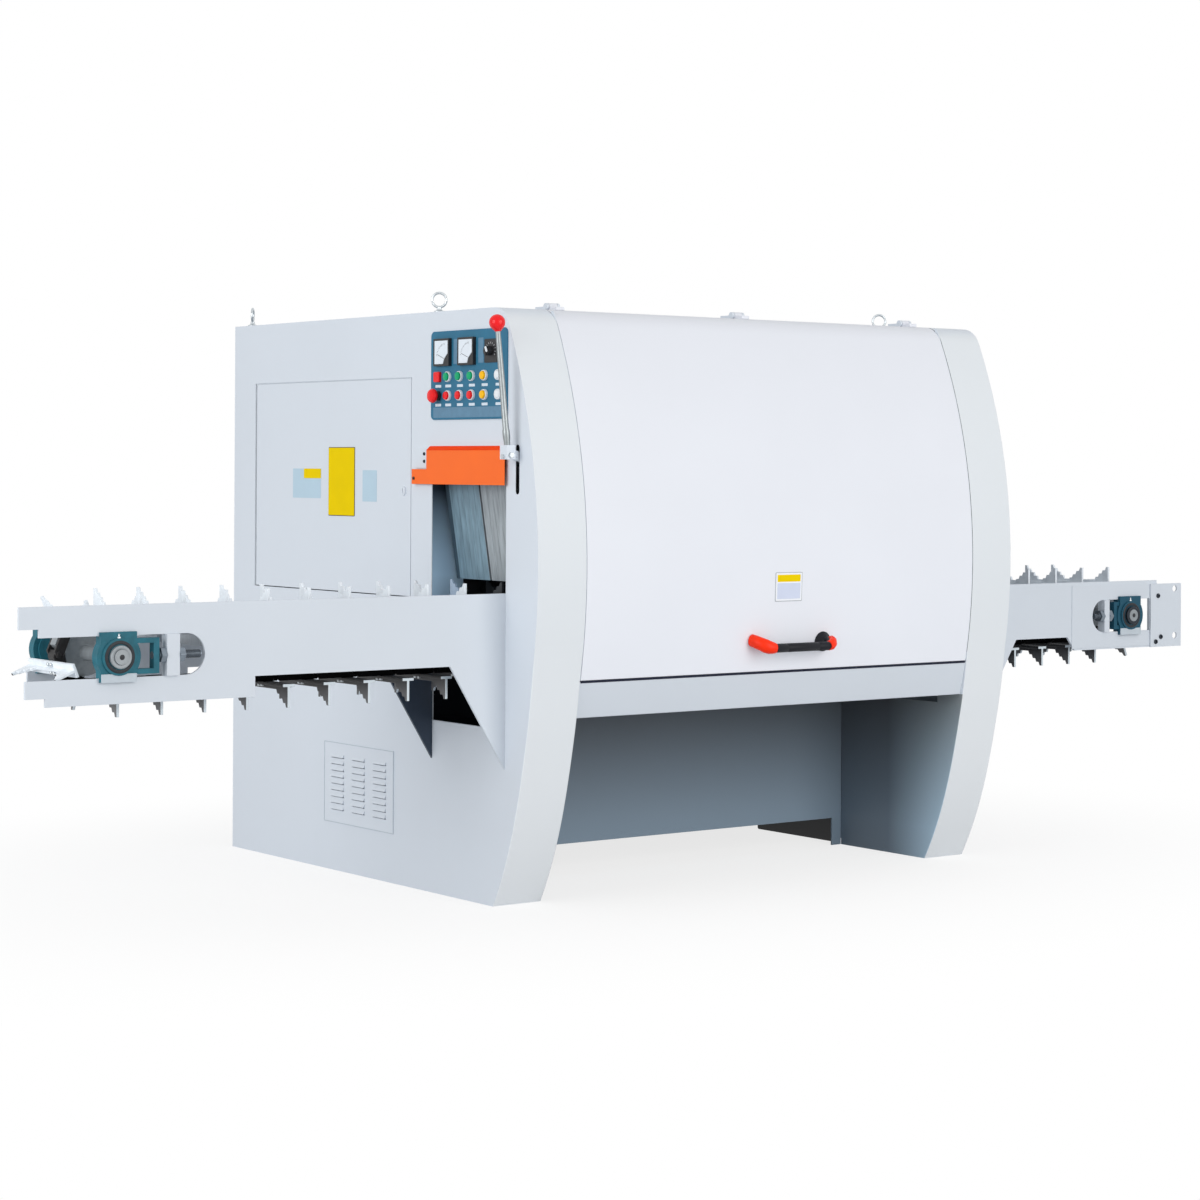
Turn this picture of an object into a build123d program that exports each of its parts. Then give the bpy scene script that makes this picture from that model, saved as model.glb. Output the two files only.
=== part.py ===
"""Twin shaft log saw: a chain conveyor on each side of a closed saw chamber with two arbors.

Millimetres. +X is the feed direction, +Y goes from the operator's side to the back, +Z is up.
The origin is on the floor, under the middle of the machine's box.
"""

import os
from math import atan2, copysign, cos, degrees, pi, sin, sqrt

from build123d import *

os.makedirs("parts", exist_ok=True)

# Driving dimensions of the body
BODY_LENGTH = 1845
BODY_HEIGHT = 1700
BODY_DEPTH = 1500
INFEED_REACH = 1480
OUTFEED_REACH = 975
HANDLE_REACH = 264
GLAND_REACH = 30
POST = 167
END_PLATE = 8
SHEET = 6

# Places that the rest is measured from
LEFT = (INFEED_REACH - OUTFEED_REACH - BODY_LENGTH) / 2
RIGHT = LEFT + BODY_LENGTH
FRONT = (HANDLE_REACH - BODY_DEPTH - GLAND_REACH) / 2
BACK = FRONT + BODY_DEPTH
PARTITION = FRONT + 400
INNER_LEFT = LEFT + POST
INNER_RIGHT = RIGHT - POST
INNER_LENGTH = INNER_RIGHT - INNER_LEFT

# The bowed front of the end frames
BOW_RADIUS = 1700
BOW_CENTRE_Y = FRONT + 1488
BOW_CENTRE_Z = 960
KNEE_Z = 487
CROWN_RADIUS = 80

# Conveyors
AXIS_Z = 757
CONVEYOR_Y = FRONT + 135
PLATE_HALF_GAUGE = 190
PLATE = 8
NEAR_PLATE = CONVEYOR_Y - PLATE_HALF_GAUGE
FAR_PLATE = CONVEYOR_Y + PLATE_HALF_GAUGE
INFEED_TOP = 890
OUTFEED_TOP = 872
FAR_TOP = 862
PLATE_BOTTOM = 636
CUTAWAY_Z = 691
GUSSET_FOOT = 393
GUSSET_REACH = 186
SLOT_HEIGHT = 108
TUNNEL_FLOOR = 505
TUNNEL_ROOF = 1300

# Feed chain: solid blocks and pairs of side plates in turn, one carrier to a block
CHAIN_PITCH = 63.5
WHEEL_STEPS = 8
PITCH_RADIUS = CHAIN_PITCH / (2 * sin(pi / WHEEL_STEPS))
INFEED_STRAIGHT = 28
OUTFEED_STRAIGHT = 19
BLOCK_HALF_HEIGHT = 14
BLOCK_WIDTH = 36
LINK_END = 12
LINK_PLATE = 8
INFEED_IDLER_X = LEFT - 1208
INFEED_DRIVE_X = INFEED_IDLER_X + INFEED_STRAIGHT * CHAIN_PITCH
OUTFEED_IDLER_X = RIGHT + 717
OUTFEED_DRIVE_X = OUTFEED_IDLER_X - OUTFEED_STRAIGHT * CHAIN_PITCH
CARRIER_HALF_WIDTH = 132
CARRIER_TIP = 56
FOOT_LENGTH = 37
FOOT_THICKNESS = 8
SHAFT_RADIUS = 20
RUNNING_GAP = 0.05

# Saw arbors
LOWER_ARBOR = (LEFT + 980, 790)
UPPER_ARBOR = (LEFT + 1200, 1170)
ARBOR_RADIUS = 35
SLEEVE_RADIUS = 50
COLLAR_RADIUS = 62
BLADE_RADIUS = 190
BLADE_TEETH = 12
BLADE_THICKNESS = 5
BOARD_WIDTH = 55

# Hold-down roller
PRESS_PIVOT = (LEFT + 520, 1330)
PRESS_ROLLER = (LEFT + 700, 1040)
PRESS_RADIUS = 55
PRESS_AXLE = 16
PRESS_SHAFT = 20
PRESS_ARM_FRONT = FRONT + 235
PRESS_ARM = 20
PRESS_ROLLER_FRONT = FRONT + 45
PRESS_ROLLER_BACK = PRESS_ARM_FRONT - 6

# Control panel and its row of controls
PANEL_THICKNESS = 4
BUTTON_COLUMNS = {"lamp": 288, "one": 236, "two": 175, "three": 114, "four": 49, "five": -21}
UPPER_ROW = 1508
LOWER_ROW = 1453
BUTTON_RADIUS = 14
BUTTON_PROUD = 13
BUTTON_GAP = 4
STEM = 10

# Kickback fingers and their lever
FINGER_SHAFT = (LEFT + 45, 1262)
FINGER_SHAFT_RADIUS = 15
LEVER_Y = FRONT - 110


def bow_point(z):
    """Point of the bowed front line at height z, as (y, z)."""
    return (BOW_CENTRE_Y - sqrt(BOW_RADIUS**2 - (z - BOW_CENTRE_Z) ** 2), z)


def side_face(inset=0):
    """Side outline of the body in (y, z), drawn in from its outer line by inset."""
    with BuildSketch() as face:
        with BuildLine():
            Polyline((BACK, BODY_HEIGHT), (BACK, 0), (FRONT, 0), bow_point(KNEE_Z))
            ThreePointArc(bow_point(KNEE_Z), bow_point(BOW_CENTRE_Z), bow_point(BODY_HEIGHT))
            Line(bow_point(BODY_HEIGHT), (BACK, BODY_HEIGHT))
        make_face()
        crown = face.vertices().sort_by_distance(bow_point(BODY_HEIGHT))[0]
        fillet(crown, radius=CROWN_RADIUS)
        if inset:
            offset(amount=-inset, kind=Kind.INTERSECTION, mode=Mode.REPLACE)
    return face.sketch


def window(low, high, mode=Mode.ADD):
    """Rectangle between two corners of the sketch that is being drawn."""
    with Locations(((low[0] + high[0]) / 2, (low[1] + high[1]) / 2)):
        Rectangle(high[0] - low[0], high[1] - low[1], mode=mode)


def slab(low, high, mode=Mode.ADD):
    """Box between two corners of the part that is being built."""
    middle = tuple((a + b) / 2 for a, b in zip(low, high))
    with Locations(middle):
        Box(high[0] - low[0], high[1] - low[1], high[2] - low[2], mode=mode)


def rod(place, radius, y0, y1, mode=Mode.ADD):
    """Cylinder along Y at (x, z), from y0 back to y1."""
    with BuildSketch(Plane.XZ.offset(-y0)) as disc:
        with Locations(place):
            Circle(radius)
    extrude(disc.sketch, amount=y0 - y1, mode=mode)


def save(part, name):
    """Name a finished piece and write it."""
    part.label = name
    export_step(part, f"parts/{name}.step")


# End frames: a flat side plate, a hollow bowed post and a tunnel for the conveyor
def end_frame(face_x, inward):
    """One end frame, from its outer face at face_x inwards (+1 or -1 along X)."""
    with BuildPart() as frame:
        with BuildSketch(Plane.YZ.offset(face_x)):
            add(side_face())
        extrude(amount=inward * END_PLATE)
        with BuildSketch(Plane.YZ.offset(face_x)):
            add(side_face())
            window((PARTITION, 0), (BACK, BODY_HEIGHT), Mode.SUBTRACT)
        extrude(amount=inward * POST)
        with BuildSketch(Plane.YZ.offset(face_x + inward * END_PLATE)):
            add(side_face(SHEET))
            window((PARTITION - SHEET, 0), (BACK, BODY_HEIGHT), Mode.SUBTRACT)
            window(
                (NEAR_PLATE - SHEET, TUNNEL_FLOOR - SHEET),
                (FAR_PLATE + SHEET, TUNNEL_ROOF + SHEET),
                Mode.SUBTRACT,
            )
        extrude(amount=inward * (POST - 2 * END_PLATE), mode=Mode.SUBTRACT)
        with BuildSketch(Plane.YZ.offset(face_x)):
            window((NEAR_PLATE, TUNNEL_FLOOR), (FAR_PLATE, TUNNEL_ROOF))
        extrude(amount=inward * POST, mode=Mode.SUBTRACT)
        rod((face_x + inward * POST / 2, 1500), 30, PARTITION - SHEET, PARTITION, Mode.SUBTRACT)
    return frame.part


# Openings in the infeed face
DOOR_LOW = (FRONT + 437, 859)
DOOR_HIGH = (FRONT + 1364, 1511)
VENT_LOW = (FRONT + 523, 147)
VENT_HIGH = (FRONT + 920, 395)
PANEL_LOW = (FRONT - 62, 1383)
PANEL_HIGH = (FRONT + 328, 1641)
FRAME_LIP = 18
LEVER_SLOT_LOW = 1170
LEVER_SLOT_HIGH = 1310
LEVER_SLOT_WIDTH = 18

with BuildPart() as infeed_end_frame:
    add(end_frame(LEFT, 1))
    with BuildSketch(Plane.YZ.offset(LEFT)):
        window(DOOR_LOW, DOOR_HIGH)
        window(
            (VENT_LOW[0] + FRAME_LIP, VENT_LOW[1] + FRAME_LIP),
            (VENT_HIGH[0] - FRAME_LIP, VENT_HIGH[1] - FRAME_LIP),
        )
        window(
            (PANEL_LOW[0] + FRAME_LIP, PANEL_LOW[1] + FRAME_LIP),
            (PANEL_HIGH[0] - FRAME_LIP, PANEL_HIGH[1] - FRAME_LIP),
        )
        with Locations((LEVER_Y, (LEVER_SLOT_LOW + LEVER_SLOT_HIGH) / 2)):
            SlotOverall(LEVER_SLOT_HIGH - LEVER_SLOT_LOW, LEVER_SLOT_WIDTH, rotation=90)
    extrude(amount=END_PLATE, mode=Mode.SUBTRACT)
    shaft_bore = FINGER_SHAFT_RADIUS + RUNNING_GAP
    rod(FINGER_SHAFT, shaft_bore, NEAR_PLATE - SHEET, FAR_PLATE + SHEET, Mode.SUBTRACT)
save(infeed_end_frame.part, "infeed_end_frame")

with BuildPart() as outfeed_end_frame:
    add(end_frame(RIGHT, -1))
save(outfeed_end_frame.part, "outfeed_end_frame")

# Front rail: a box section that follows the bow, under the hood
RAIL_LOW = 537
RAIL_HIGH = 641
RAIL_DEPTH = 60
RAIL_WALL = 5

with BuildPart() as front_rail:
    with BuildSketch(Plane.YZ.offset(INNER_LEFT)):
        add(side_face())
        add(side_face(RAIL_DEPTH), mode=Mode.SUBTRACT)
        window((FRONT - 300, RAIL_LOW), (FRONT, RAIL_HIGH), Mode.INTERSECT)
    extrude(amount=INNER_LENGTH)
    with BuildSketch(Plane.YZ.offset(INNER_LEFT)):
        add(side_face(RAIL_WALL))
        add(side_face(RAIL_DEPTH - RAIL_WALL), mode=Mode.SUBTRACT)
        window((FRONT - 300, RAIL_LOW + RAIL_WALL), (FRONT, RAIL_HIGH - RAIL_WALL), Mode.INTERSECT)
    extrude(amount=INNER_LENGTH, mode=Mode.SUBTRACT)
save(front_rail.part, "front_rail")

# Walls of the saw chamber and of the rear cabinet
PARTITION_PLATE = 12
RECESS_LOW = 90
RECESS_HIGH = 560
RECESS_LEG = 40
ARBOR_HOLE = 45
DRIVE_HOLE = 30
LID = 6
HEADER_Y = FRONT + 45
HEADER_DROP = 60

with BuildPart() as partition_wall:
    slab(
        (INNER_LEFT, PARTITION, RECESS_HIGH),
        (INNER_RIGHT, PARTITION + PARTITION_PLATE, BODY_HEIGHT - LID),
    )
    for arbor in (LOWER_ARBOR, UPPER_ARBOR):
        rod(arbor, ARBOR_HOLE, PARTITION, PARTITION + PARTITION_PLATE, Mode.SUBTRACT)
    for drive_x in (INFEED_DRIVE_X, OUTFEED_DRIVE_X):
        rod((drive_x, AXIS_Z), DRIVE_HOLE, PARTITION, PARTITION + PARTITION_PLATE, Mode.SUBTRACT)
    with BuildSketch(Plane.XZ.offset(-PARTITION)):
        with Locations(PRESS_PIVOT):
            Rectangle(110, 110)
    extrude(amount=20)
    bracket_front = PRESS_ARM_FRONT + PRESS_ARM + 4
    rod(PRESS_PIVOT, 40, bracket_front, PARTITION)
    rod(PRESS_PIVOT, PRESS_SHAFT + RUNNING_GAP, bracket_front, PARTITION, Mode.SUBTRACT)
save(partition_wall.part, "partition_wall")

with BuildPart() as chip_recess_panel:
    slab((INNER_LEFT, PARTITION, RECESS_LOW), (INNER_RIGHT, PARTITION + SHEET, RECESS_HIGH))
    for leg_x in (INNER_LEFT, INNER_RIGHT - RECESS_LEG):
        slab((leg_x, PARTITION, 0), (leg_x + RECESS_LEG, PARTITION + SHEET, RECESS_LOW))
save(chip_recess_panel.part, "chip_recess_panel")

with BuildPart() as top_cover:
    with BuildSketch(Plane.XY.offset(BODY_HEIGHT - LID)):
        window((INNER_LEFT, HEADER_Y), (INNER_RIGHT, PARTITION))
        window((LEFT + END_PLATE, PARTITION), (RIGHT - END_PLATE, BACK))
    extrude(amount=LID)
    slab(
        (INNER_LEFT, HEADER_Y, BODY_HEIGHT - HEADER_DROP),
        (INNER_RIGHT, HEADER_Y + LID, BODY_HEIGHT - LID),
    )
save(top_cover.part, "top_cover")

GLAND_PLACE = (LEFT + 260, 520)
GLAND_RADIUS = 24

with BuildPart() as back_panel:
    slab((LEFT + END_PLATE, BACK - SHEET, 0), (RIGHT - END_PLATE, BACK, BODY_HEIGHT - LID))
    rod(GLAND_PLACE, GLAND_RADIUS, BACK - SHEET, BACK, Mode.SUBTRACT)
save(back_panel.part, "back_panel")

with BuildPart() as cable_gland:
    rod(GLAND_PLACE, GLAND_RADIUS, BACK - 2 * SHEET, BACK)
    with BuildSketch(Plane.XZ.offset(-BACK)):
        with Locations(GLAND_PLACE):
            RegularPolygon(GLAND_RADIUS + 8, 6)
    extrude(amount=-GLAND_REACH)
    rod(GLAND_PLACE, GLAND_RADIUS - 8, BACK - 2 * SHEET, BACK + GLAND_REACH, Mode.SUBTRACT)
save(cable_gland.part, "cable_gland")

BASE_HEIGHT = 100
BASE_WIDTH = 60

with BuildPart() as base_frame:
    with BuildSketch():
        window((LEFT + END_PLATE, PARTITION + SHEET), (RIGHT - END_PLATE, BACK - SHEET))
        window(
            (LEFT + END_PLATE + BASE_WIDTH, PARTITION + SHEET),
            (RIGHT - END_PLATE - BASE_WIDTH, BACK - SHEET - BASE_WIDTH),
            Mode.SUBTRACT,
        )
    extrude(amount=BASE_HEIGHT)
save(base_frame.part, "base_frame")

# Hood: a curved pan hung on three hinges at the top
HOOD_LOW = 645
HOOD_BACK = HEADER_Y - 3
HOOD_SKIN = 3
HOOD_RIM = 32
HOOD_SIDE_GAP = 3
HINGE_AXIS = (HEADER_Y, BODY_HEIGHT + 12)
HINGE_RADIUS = 10
PIN_RADIUS = 5
HINGE_X = [INNER_LEFT + 60, (INNER_LEFT + INNER_RIGHT) / 2, INNER_RIGHT - 60]
KNUCKLE = 29
EAR = 8

with BuildPart() as hood_door:
    with BuildSketch(Plane.YZ.offset(INNER_LEFT + HOOD_SIDE_GAP)):
        add(side_face())
        add(side_face(HOOD_RIM), mode=Mode.SUBTRACT)
        window((FRONT - 300, HOOD_LOW), (HOOD_BACK, BODY_HEIGHT), Mode.INTERSECT)
    extrude(amount=INNER_LENGTH - 2 * HOOD_SIDE_GAP)
    with BuildSketch(Plane.YZ.offset(INNER_LEFT + HOOD_SIDE_GAP + HOOD_SKIN)):
        add(side_face(HOOD_SKIN))
        add(side_face(HOOD_RIM + HOOD_SKIN), mode=Mode.SUBTRACT)
        window((FRONT - 300, HOOD_LOW + HOOD_SKIN), (HOOD_BACK - HOOD_SKIN, BODY_HEIGHT), Mode.INTERSECT)
    extrude(amount=INNER_LENGTH - 2 * HOOD_SIDE_GAP - 2 * HOOD_SKIN, mode=Mode.SUBTRACT)
    for hinge_x in HINGE_X:
        with BuildSketch(Plane.YZ.offset(hinge_x - KNUCKLE / 2)):
            window((HOOD_BACK - 40, BODY_HEIGHT), (HINGE_AXIS[0], HINGE_AXIS[1] - 2))
            with Locations(HINGE_AXIS):
                Circle(HINGE_RADIUS)
                Circle(PIN_RADIUS + RUNNING_GAP, mode=Mode.SUBTRACT)
        extrude(amount=KNUCKLE)
save(hood_door.part, "hood_door")

with BuildPart() as hood_hinges:
    for hinge_x in HINGE_X:
        for ear_x in (hinge_x - KNUCKLE / 2 - 1 - EAR, hinge_x + KNUCKLE / 2 + 1):
            with BuildSketch(Plane.YZ.offset(ear_x)):
                window((HINGE_AXIS[0], BODY_HEIGHT), (HINGE_AXIS[0] + 50, HINGE_AXIS[1]))
                with Locations(HINGE_AXIS):
                    Circle(HINGE_RADIUS)
            extrude(amount=EAR)
        with BuildSketch(Plane.YZ.offset(hinge_x - KNUCKLE / 2 - 1)):
            with Locations(HINGE_AXIS):
                Circle(PIN_RADIUS)
        extrude(amount=KNUCKLE + 2)
save(hood_hinges.part, "hood_hinges")

# Bow handle on the hood: a black grip on a round foot, with red ends
GRIP_RADIUS = 13
GRIP_Z = 726
GRIP_Y = FRONT - HANDLE_REACH + GRIP_RADIUS + 1
GRIP_LEFT = LEFT + 872
GRIP_RIGHT = LEFT + 1064
GRIP_FOOT_X = LEFT + 1046
RED_END_LEFT = LEFT + 782
RED_END_HEIGHT = 34

with BuildPart() as handle_grip:
    with BuildSketch(Plane.YZ.offset(GRIP_LEFT)):
        with Locations((GRIP_Y, GRIP_Z)):
            Circle(GRIP_RADIUS)
    extrude(amount=GRIP_RIGHT - GRIP_LEFT)
    rod((GRIP_FOOT_X, GRIP_Z), GRIP_RADIUS, GRIP_Y, bow_point(GRIP_Z)[0] + 1)
    with BuildSketch(Plane.YZ.offset(GRIP_LEFT)):
        add(side_face())
    extrude(amount=GRIP_RIGHT - GRIP_LEFT, mode=Mode.SUBTRACT)
save(handle_grip.part, "handle_grip")

with BuildPart() as handle_ends:
    with BuildSketch(Plane.XY.offset(GRIP_Z - RED_END_HEIGHT / 2)):
        with BuildLine():
            TangentArc(
                (GRIP_LEFT, GRIP_Y - GRIP_RADIUS - 1),
                (RED_END_LEFT, bow_point(GRIP_Z)[0] + 8),
                tangent=(-1, 0),
            )
            Line((GRIP_LEFT, GRIP_Y - GRIP_RADIUS - 1), (GRIP_LEFT, GRIP_Y + GRIP_RADIUS + 1))
            Line((GRIP_LEFT, GRIP_Y + GRIP_RADIUS + 1), (RED_END_LEFT + 44, bow_point(GRIP_Z)[0] + 8))
            Line((RED_END_LEFT + 44, bow_point(GRIP_Z)[0] + 8), (RED_END_LEFT, bow_point(GRIP_Z)[0] + 8))
        make_face()
    extrude(amount=RED_END_HEIGHT)
    with BuildSketch(Plane.YZ.offset(GRIP_RIGHT)):
        with Locations((GRIP_Y, GRIP_Z)):
            Circle(GRIP_RADIUS + 1)
    extrude(amount=10)
    with BuildSketch(Plane.YZ.offset(RED_END_LEFT - 50)):
        add(side_face())
    extrude(amount=GRIP_RIGHT - RED_END_LEFT, mode=Mode.SUBTRACT)
save(handle_ends.part, "handle_ends")

# Electrical compartment behind the infeed face
ENCLOSURE_DEPTH = 300
ENCLOSURE_WALL = 3
ENCLOSURE_MARGIN = 20
DOOR_GAP = 3
DOOR_THICKNESS = 20
DOOR_SKIN = 3
DOOR_PIN_RADIUS = 4
DOOR_PIN_INSET = 11.5
DOOR_PIVOT = (LEFT + END_PLATE + DOOR_PIN_RADIUS + 0.3, DOOR_HIGH[0] - DOOR_GAP - DOOR_PIN_INSET)
DOOR_PIN_DEPTH = 30
LOCK_PLACE = (DOOR_LOW[0] + 41, 1174)
LOCK_RADIUS = 10
LOCK_PROUD = 4
CAM = 3
CAM_FRONT = LEFT + END_PLATE + 1
CAM_HALF_WIDTH = 10
CAM_REACH = 50
ENCLOSURE_LOW = (DOOR_LOW[0] - ENCLOSURE_MARGIN, DOOR_LOW[1] - ENCLOSURE_MARGIN)
ENCLOSURE_HIGH = (DOOR_HIGH[0] + ENCLOSURE_MARGIN, DOOR_HIGH[1] + ENCLOSURE_MARGIN)

with BuildPart() as electrical_enclosure:
    slab(
        (LEFT + END_PLATE, ENCLOSURE_LOW[0], ENCLOSURE_LOW[1]),
        (LEFT + END_PLATE + ENCLOSURE_DEPTH, ENCLOSURE_HIGH[0], ENCLOSURE_HIGH[1]),
    )
    inner_face = electrical_enclosure.faces().sort_by(Axis.X)[0]
    offset(amount=-ENCLOSURE_WALL, openings=inner_face)
    with Locations((DOOR_PIVOT[0], DOOR_PIVOT[1], (ENCLOSURE_LOW[1] + ENCLOSURE_HIGH[1]) / 2)):
        Cylinder(DOOR_PIN_RADIUS, ENCLOSURE_HIGH[1] - ENCLOSURE_LOW[1], mode=Mode.SUBTRACT)
save(electrical_enclosure.part, "electrical_enclosure")

with BuildPart() as electrical_door:
    with BuildSketch(Plane.XY.offset(DOOR_LOW[1] + DOOR_GAP)) as door_plan:
        window(
            (LEFT, DOOR_LOW[0] + DOOR_GAP),
            (LEFT + DOOR_THICKNESS, DOOR_HIGH[0] - DOOR_GAP),
        )
        fillet(door_plan.vertices().group_by(Axis.Y)[-1], radius=DOOR_THICKNESS / 2 - 0.1)
    extrude(amount=DOOR_HIGH[1] - DOOR_LOW[1] - 2 * DOOR_GAP)
    slab(
        (LEFT + DOOR_SKIN, DOOR_LOW[0] + DOOR_GAP + DOOR_SKIN, DOOR_LOW[1] + DOOR_GAP + DOOR_SKIN),
        (LEFT + DOOR_THICKNESS, DOOR_HIGH[0] - DOOR_GAP - 24, DOOR_HIGH[1] - DOOR_GAP - DOOR_SKIN),
        Mode.SUBTRACT,
    )
    for pin_z in (DOOR_LOW[1] + DOOR_GAP, DOOR_HIGH[1] - DOOR_GAP):
        with Locations((DOOR_PIVOT[0], DOOR_PIVOT[1], pin_z)):
            Cylinder(DOOR_PIN_RADIUS + RUNNING_GAP, 2 * DOOR_PIN_DEPTH + 2, mode=Mode.SUBTRACT)
    with BuildSketch(Plane.YZ.offset(LEFT)):
        with Locations(LOCK_PLACE):
            Circle(LOCK_RADIUS + RUNNING_GAP)
    extrude(amount=DOOR_SKIN, mode=Mode.SUBTRACT)
    slab(
        (CAM_FRONT - 0.5, DOOR_LOW[0], LOCK_PLACE[1] - CAM_HALF_WIDTH - 2),
        (CAM_FRONT + CAM + 0.5, DOOR_LOW[0] + DOOR_GAP + DOOR_SKIN, LOCK_PLACE[1] + CAM_REACH),
        Mode.SUBTRACT,
    )
save(electrical_door.part, "electrical_door")

with BuildPart() as electrical_door_pins:
    pin_length = DOOR_PIN_DEPTH + DOOR_GAP + ENCLOSURE_MARGIN
    for pin_z in (ENCLOSURE_LOW[1] + pin_length / 2, ENCLOSURE_HIGH[1] - pin_length / 2):
        with Locations((DOOR_PIVOT[0], DOOR_PIVOT[1], pin_z)):
            Cylinder(DOOR_PIN_RADIUS, pin_length)
save(electrical_door_pins.part, "electrical_door_pins")

# Quarter-turn lock: its cam stands upright when open and swings behind the frame when locked
with BuildPart() as door_lock:
    with BuildSketch(Plane.YZ.offset(LEFT - LOCK_PROUD)):
        with Locations(LOCK_PLACE):
            Circle(LOCK_RADIUS + 4)
            Rectangle(3, 14, mode=Mode.SUBTRACT)
    extrude(amount=LOCK_PROUD)
    with BuildSketch(Plane.YZ.offset(LEFT)):
        with Locations(LOCK_PLACE):
            Circle(LOCK_RADIUS)
    extrude(amount=CAM_FRONT - LEFT)
    slab(
        (CAM_FRONT, LOCK_PLACE[0] - CAM_HALF_WIDTH, LOCK_PLACE[1] - CAM_HALF_WIDTH),
        (CAM_FRONT + CAM, LOCK_PLACE[0] + CAM_HALF_WIDTH, LOCK_PLACE[1] + CAM_REACH),
    )
save(door_lock.part, "door_lock")

DEVICE_ROWS = [980, 1180, 1380]
DEVICE_COLUMNS = 5
GEAR_BACK = LEFT + END_PLATE + ENCLOSURE_DEPTH - ENCLOSURE_WALL

with BuildPart() as switchgear:
    slab(
        (GEAR_BACK - 3, DOOR_LOW[0] + 20, DOOR_LOW[1] + 20),
        (GEAR_BACK, DOOR_HIGH[0] - 20, DOOR_HIGH[1] - 20),
    )
    for device_z in DEVICE_ROWS:
        for column in range(DEVICE_COLUMNS):
            device_y = DOOR_LOW[0] + 110 + column * 150
            slab((GEAR_BACK - 105, device_y, device_z - 60), (GEAR_BACK - 3, device_y + 90, device_z + 60))
save(switchgear.part, "switchgear")

# Louvred vent panel on the infeed face
VENT_SHEET = 2
LOUVRE_LENGTH = 74
LOUVRE_HEIGHT = 11
LOUVRE_PROUD = 6
LOUVRE_ROWS = 9
LOUVRE_COLUMNS = 3
LOUVRE_SLIT = 3
LOUVRE_DROP = 3
ROW_PITCH = 20
COLUMN_PITCH = 120
vent_middle = ((VENT_LOW[0] + VENT_HIGH[0]) / 2, (VENT_LOW[1] + VENT_HIGH[1]) / 2 - LOUVRE_DROP)
louvre_low = vent_middle[1] + LOUVRE_SLIT / 2

with BuildPart() as louvre:
    with BuildSketch(Plane.XZ.offset(LOUVRE_LENGTH / 2)):
        with BuildLine():
            Polyline((0, 0), (-LOUVRE_PROUD, 0), (0, LOUVRE_HEIGHT), close=True)
        make_face()
    extrude(amount=-LOUVRE_LENGTH)

with BuildPart() as louvre_panel:
    with BuildSketch(Plane.YZ.offset(LEFT - VENT_SHEET)):
        window(VENT_LOW, VENT_HIGH)
        with Locations(vent_middle):
            with GridLocations(COLUMN_PITCH, ROW_PITCH, LOUVRE_COLUMNS, LOUVRE_ROWS):
                Rectangle(LOUVRE_LENGTH, LOUVRE_SLIT, mode=Mode.SUBTRACT)
    extrude(amount=VENT_SHEET)
    louvre_places = [
        Location((LEFT - VENT_SHEET, vent_middle[0] + COLUMN_PITCH * column, louvre_low + ROW_PITCH * row))
        for row in range(-(LOUVRE_ROWS // 2), LOUVRE_ROWS // 2 + 1)
        for column in range(-(LOUVRE_COLUMNS // 2), LOUVRE_COLUMNS // 2 + 1)
    ]
    with Locations(*louvre_places):
        add(louvre.part)
save(louvre_panel.part, "louvre_panel")

# Control panel with meters, lamps, buttons, emergency stop and speed knob
METER = 80
METER_PROUD = 12
METER_PLACES = [(FRONT + 259, 1579), (FRONT + 134, 1579)]
KNOB_PLACE = (FRONT + 18, 1577)
STOP_PLACE = (FRONT + BUTTON_COLUMNS["lamp"], LOWER_ROW)
STOP_STEM = 14
PANEL_FACE = LEFT - PANEL_THICKNESS
BUTTONS = {
    "start_button_one": ("one", UPPER_ROW),
    "start_button_two": ("two", UPPER_ROW),
    "start_button_three": ("three", UPPER_ROW),
    "raise_button": ("four", UPPER_ROW),
    "stop_button_one": ("one", LOWER_ROW),
    "stop_button_two": ("two", LOWER_ROW),
    "stop_button_three": ("three", LOWER_ROW),
    "lower_button": ("four", LOWER_ROW),
}

with BuildPart() as control_panel:
    with BuildSketch(Plane.YZ.offset(PANEL_FACE)) as panel_face:
        window(PANEL_LOW, PANEL_HIGH)
        fillet(panel_face.vertices(), radius=16)
        for column, row in BUTTONS.values():
            with Locations((FRONT + BUTTON_COLUMNS[column], row)):
                Rectangle(STEM + 0.2, STEM + 0.2, mode=Mode.SUBTRACT)
        with Locations(STOP_PLACE):
            Rectangle(STOP_STEM + 0.2, STOP_STEM + 0.2, mode=Mode.SUBTRACT)
    extrude(amount=PANEL_THICKNESS)
save(control_panel.part, "control_panel")

with BuildPart() as ammeters:
    with BuildSketch(Plane.YZ.offset(PANEL_FACE)):
        with Locations(*METER_PLACES):
            Rectangle(METER, METER)
    extrude(amount=-METER_PROUD)
    with BuildSketch(Plane.YZ.offset(PANEL_FACE - METER_PROUD)):
        with Locations(*METER_PLACES):
            Rectangle(METER - 10, METER - 10)
    extrude(amount=2, mode=Mode.SUBTRACT)
save(ammeters.part, "ammeters")

with BuildPart() as pilot_lamps:
    with BuildSketch(Plane.YZ.offset(PANEL_FACE)):
        with Locations((FRONT + BUTTON_COLUMNS["lamp"], UPPER_ROW)):
            Rectangle(30, 30)
        with Locations((FRONT + BUTTON_COLUMNS["five"], UPPER_ROW), (FRONT + BUTTON_COLUMNS["five"], LOWER_ROW)):
            Circle(BUTTON_RADIUS)
    extrude(amount=-BUTTON_PROUD)
save(pilot_lamps.part, "pilot_lamps")

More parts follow.
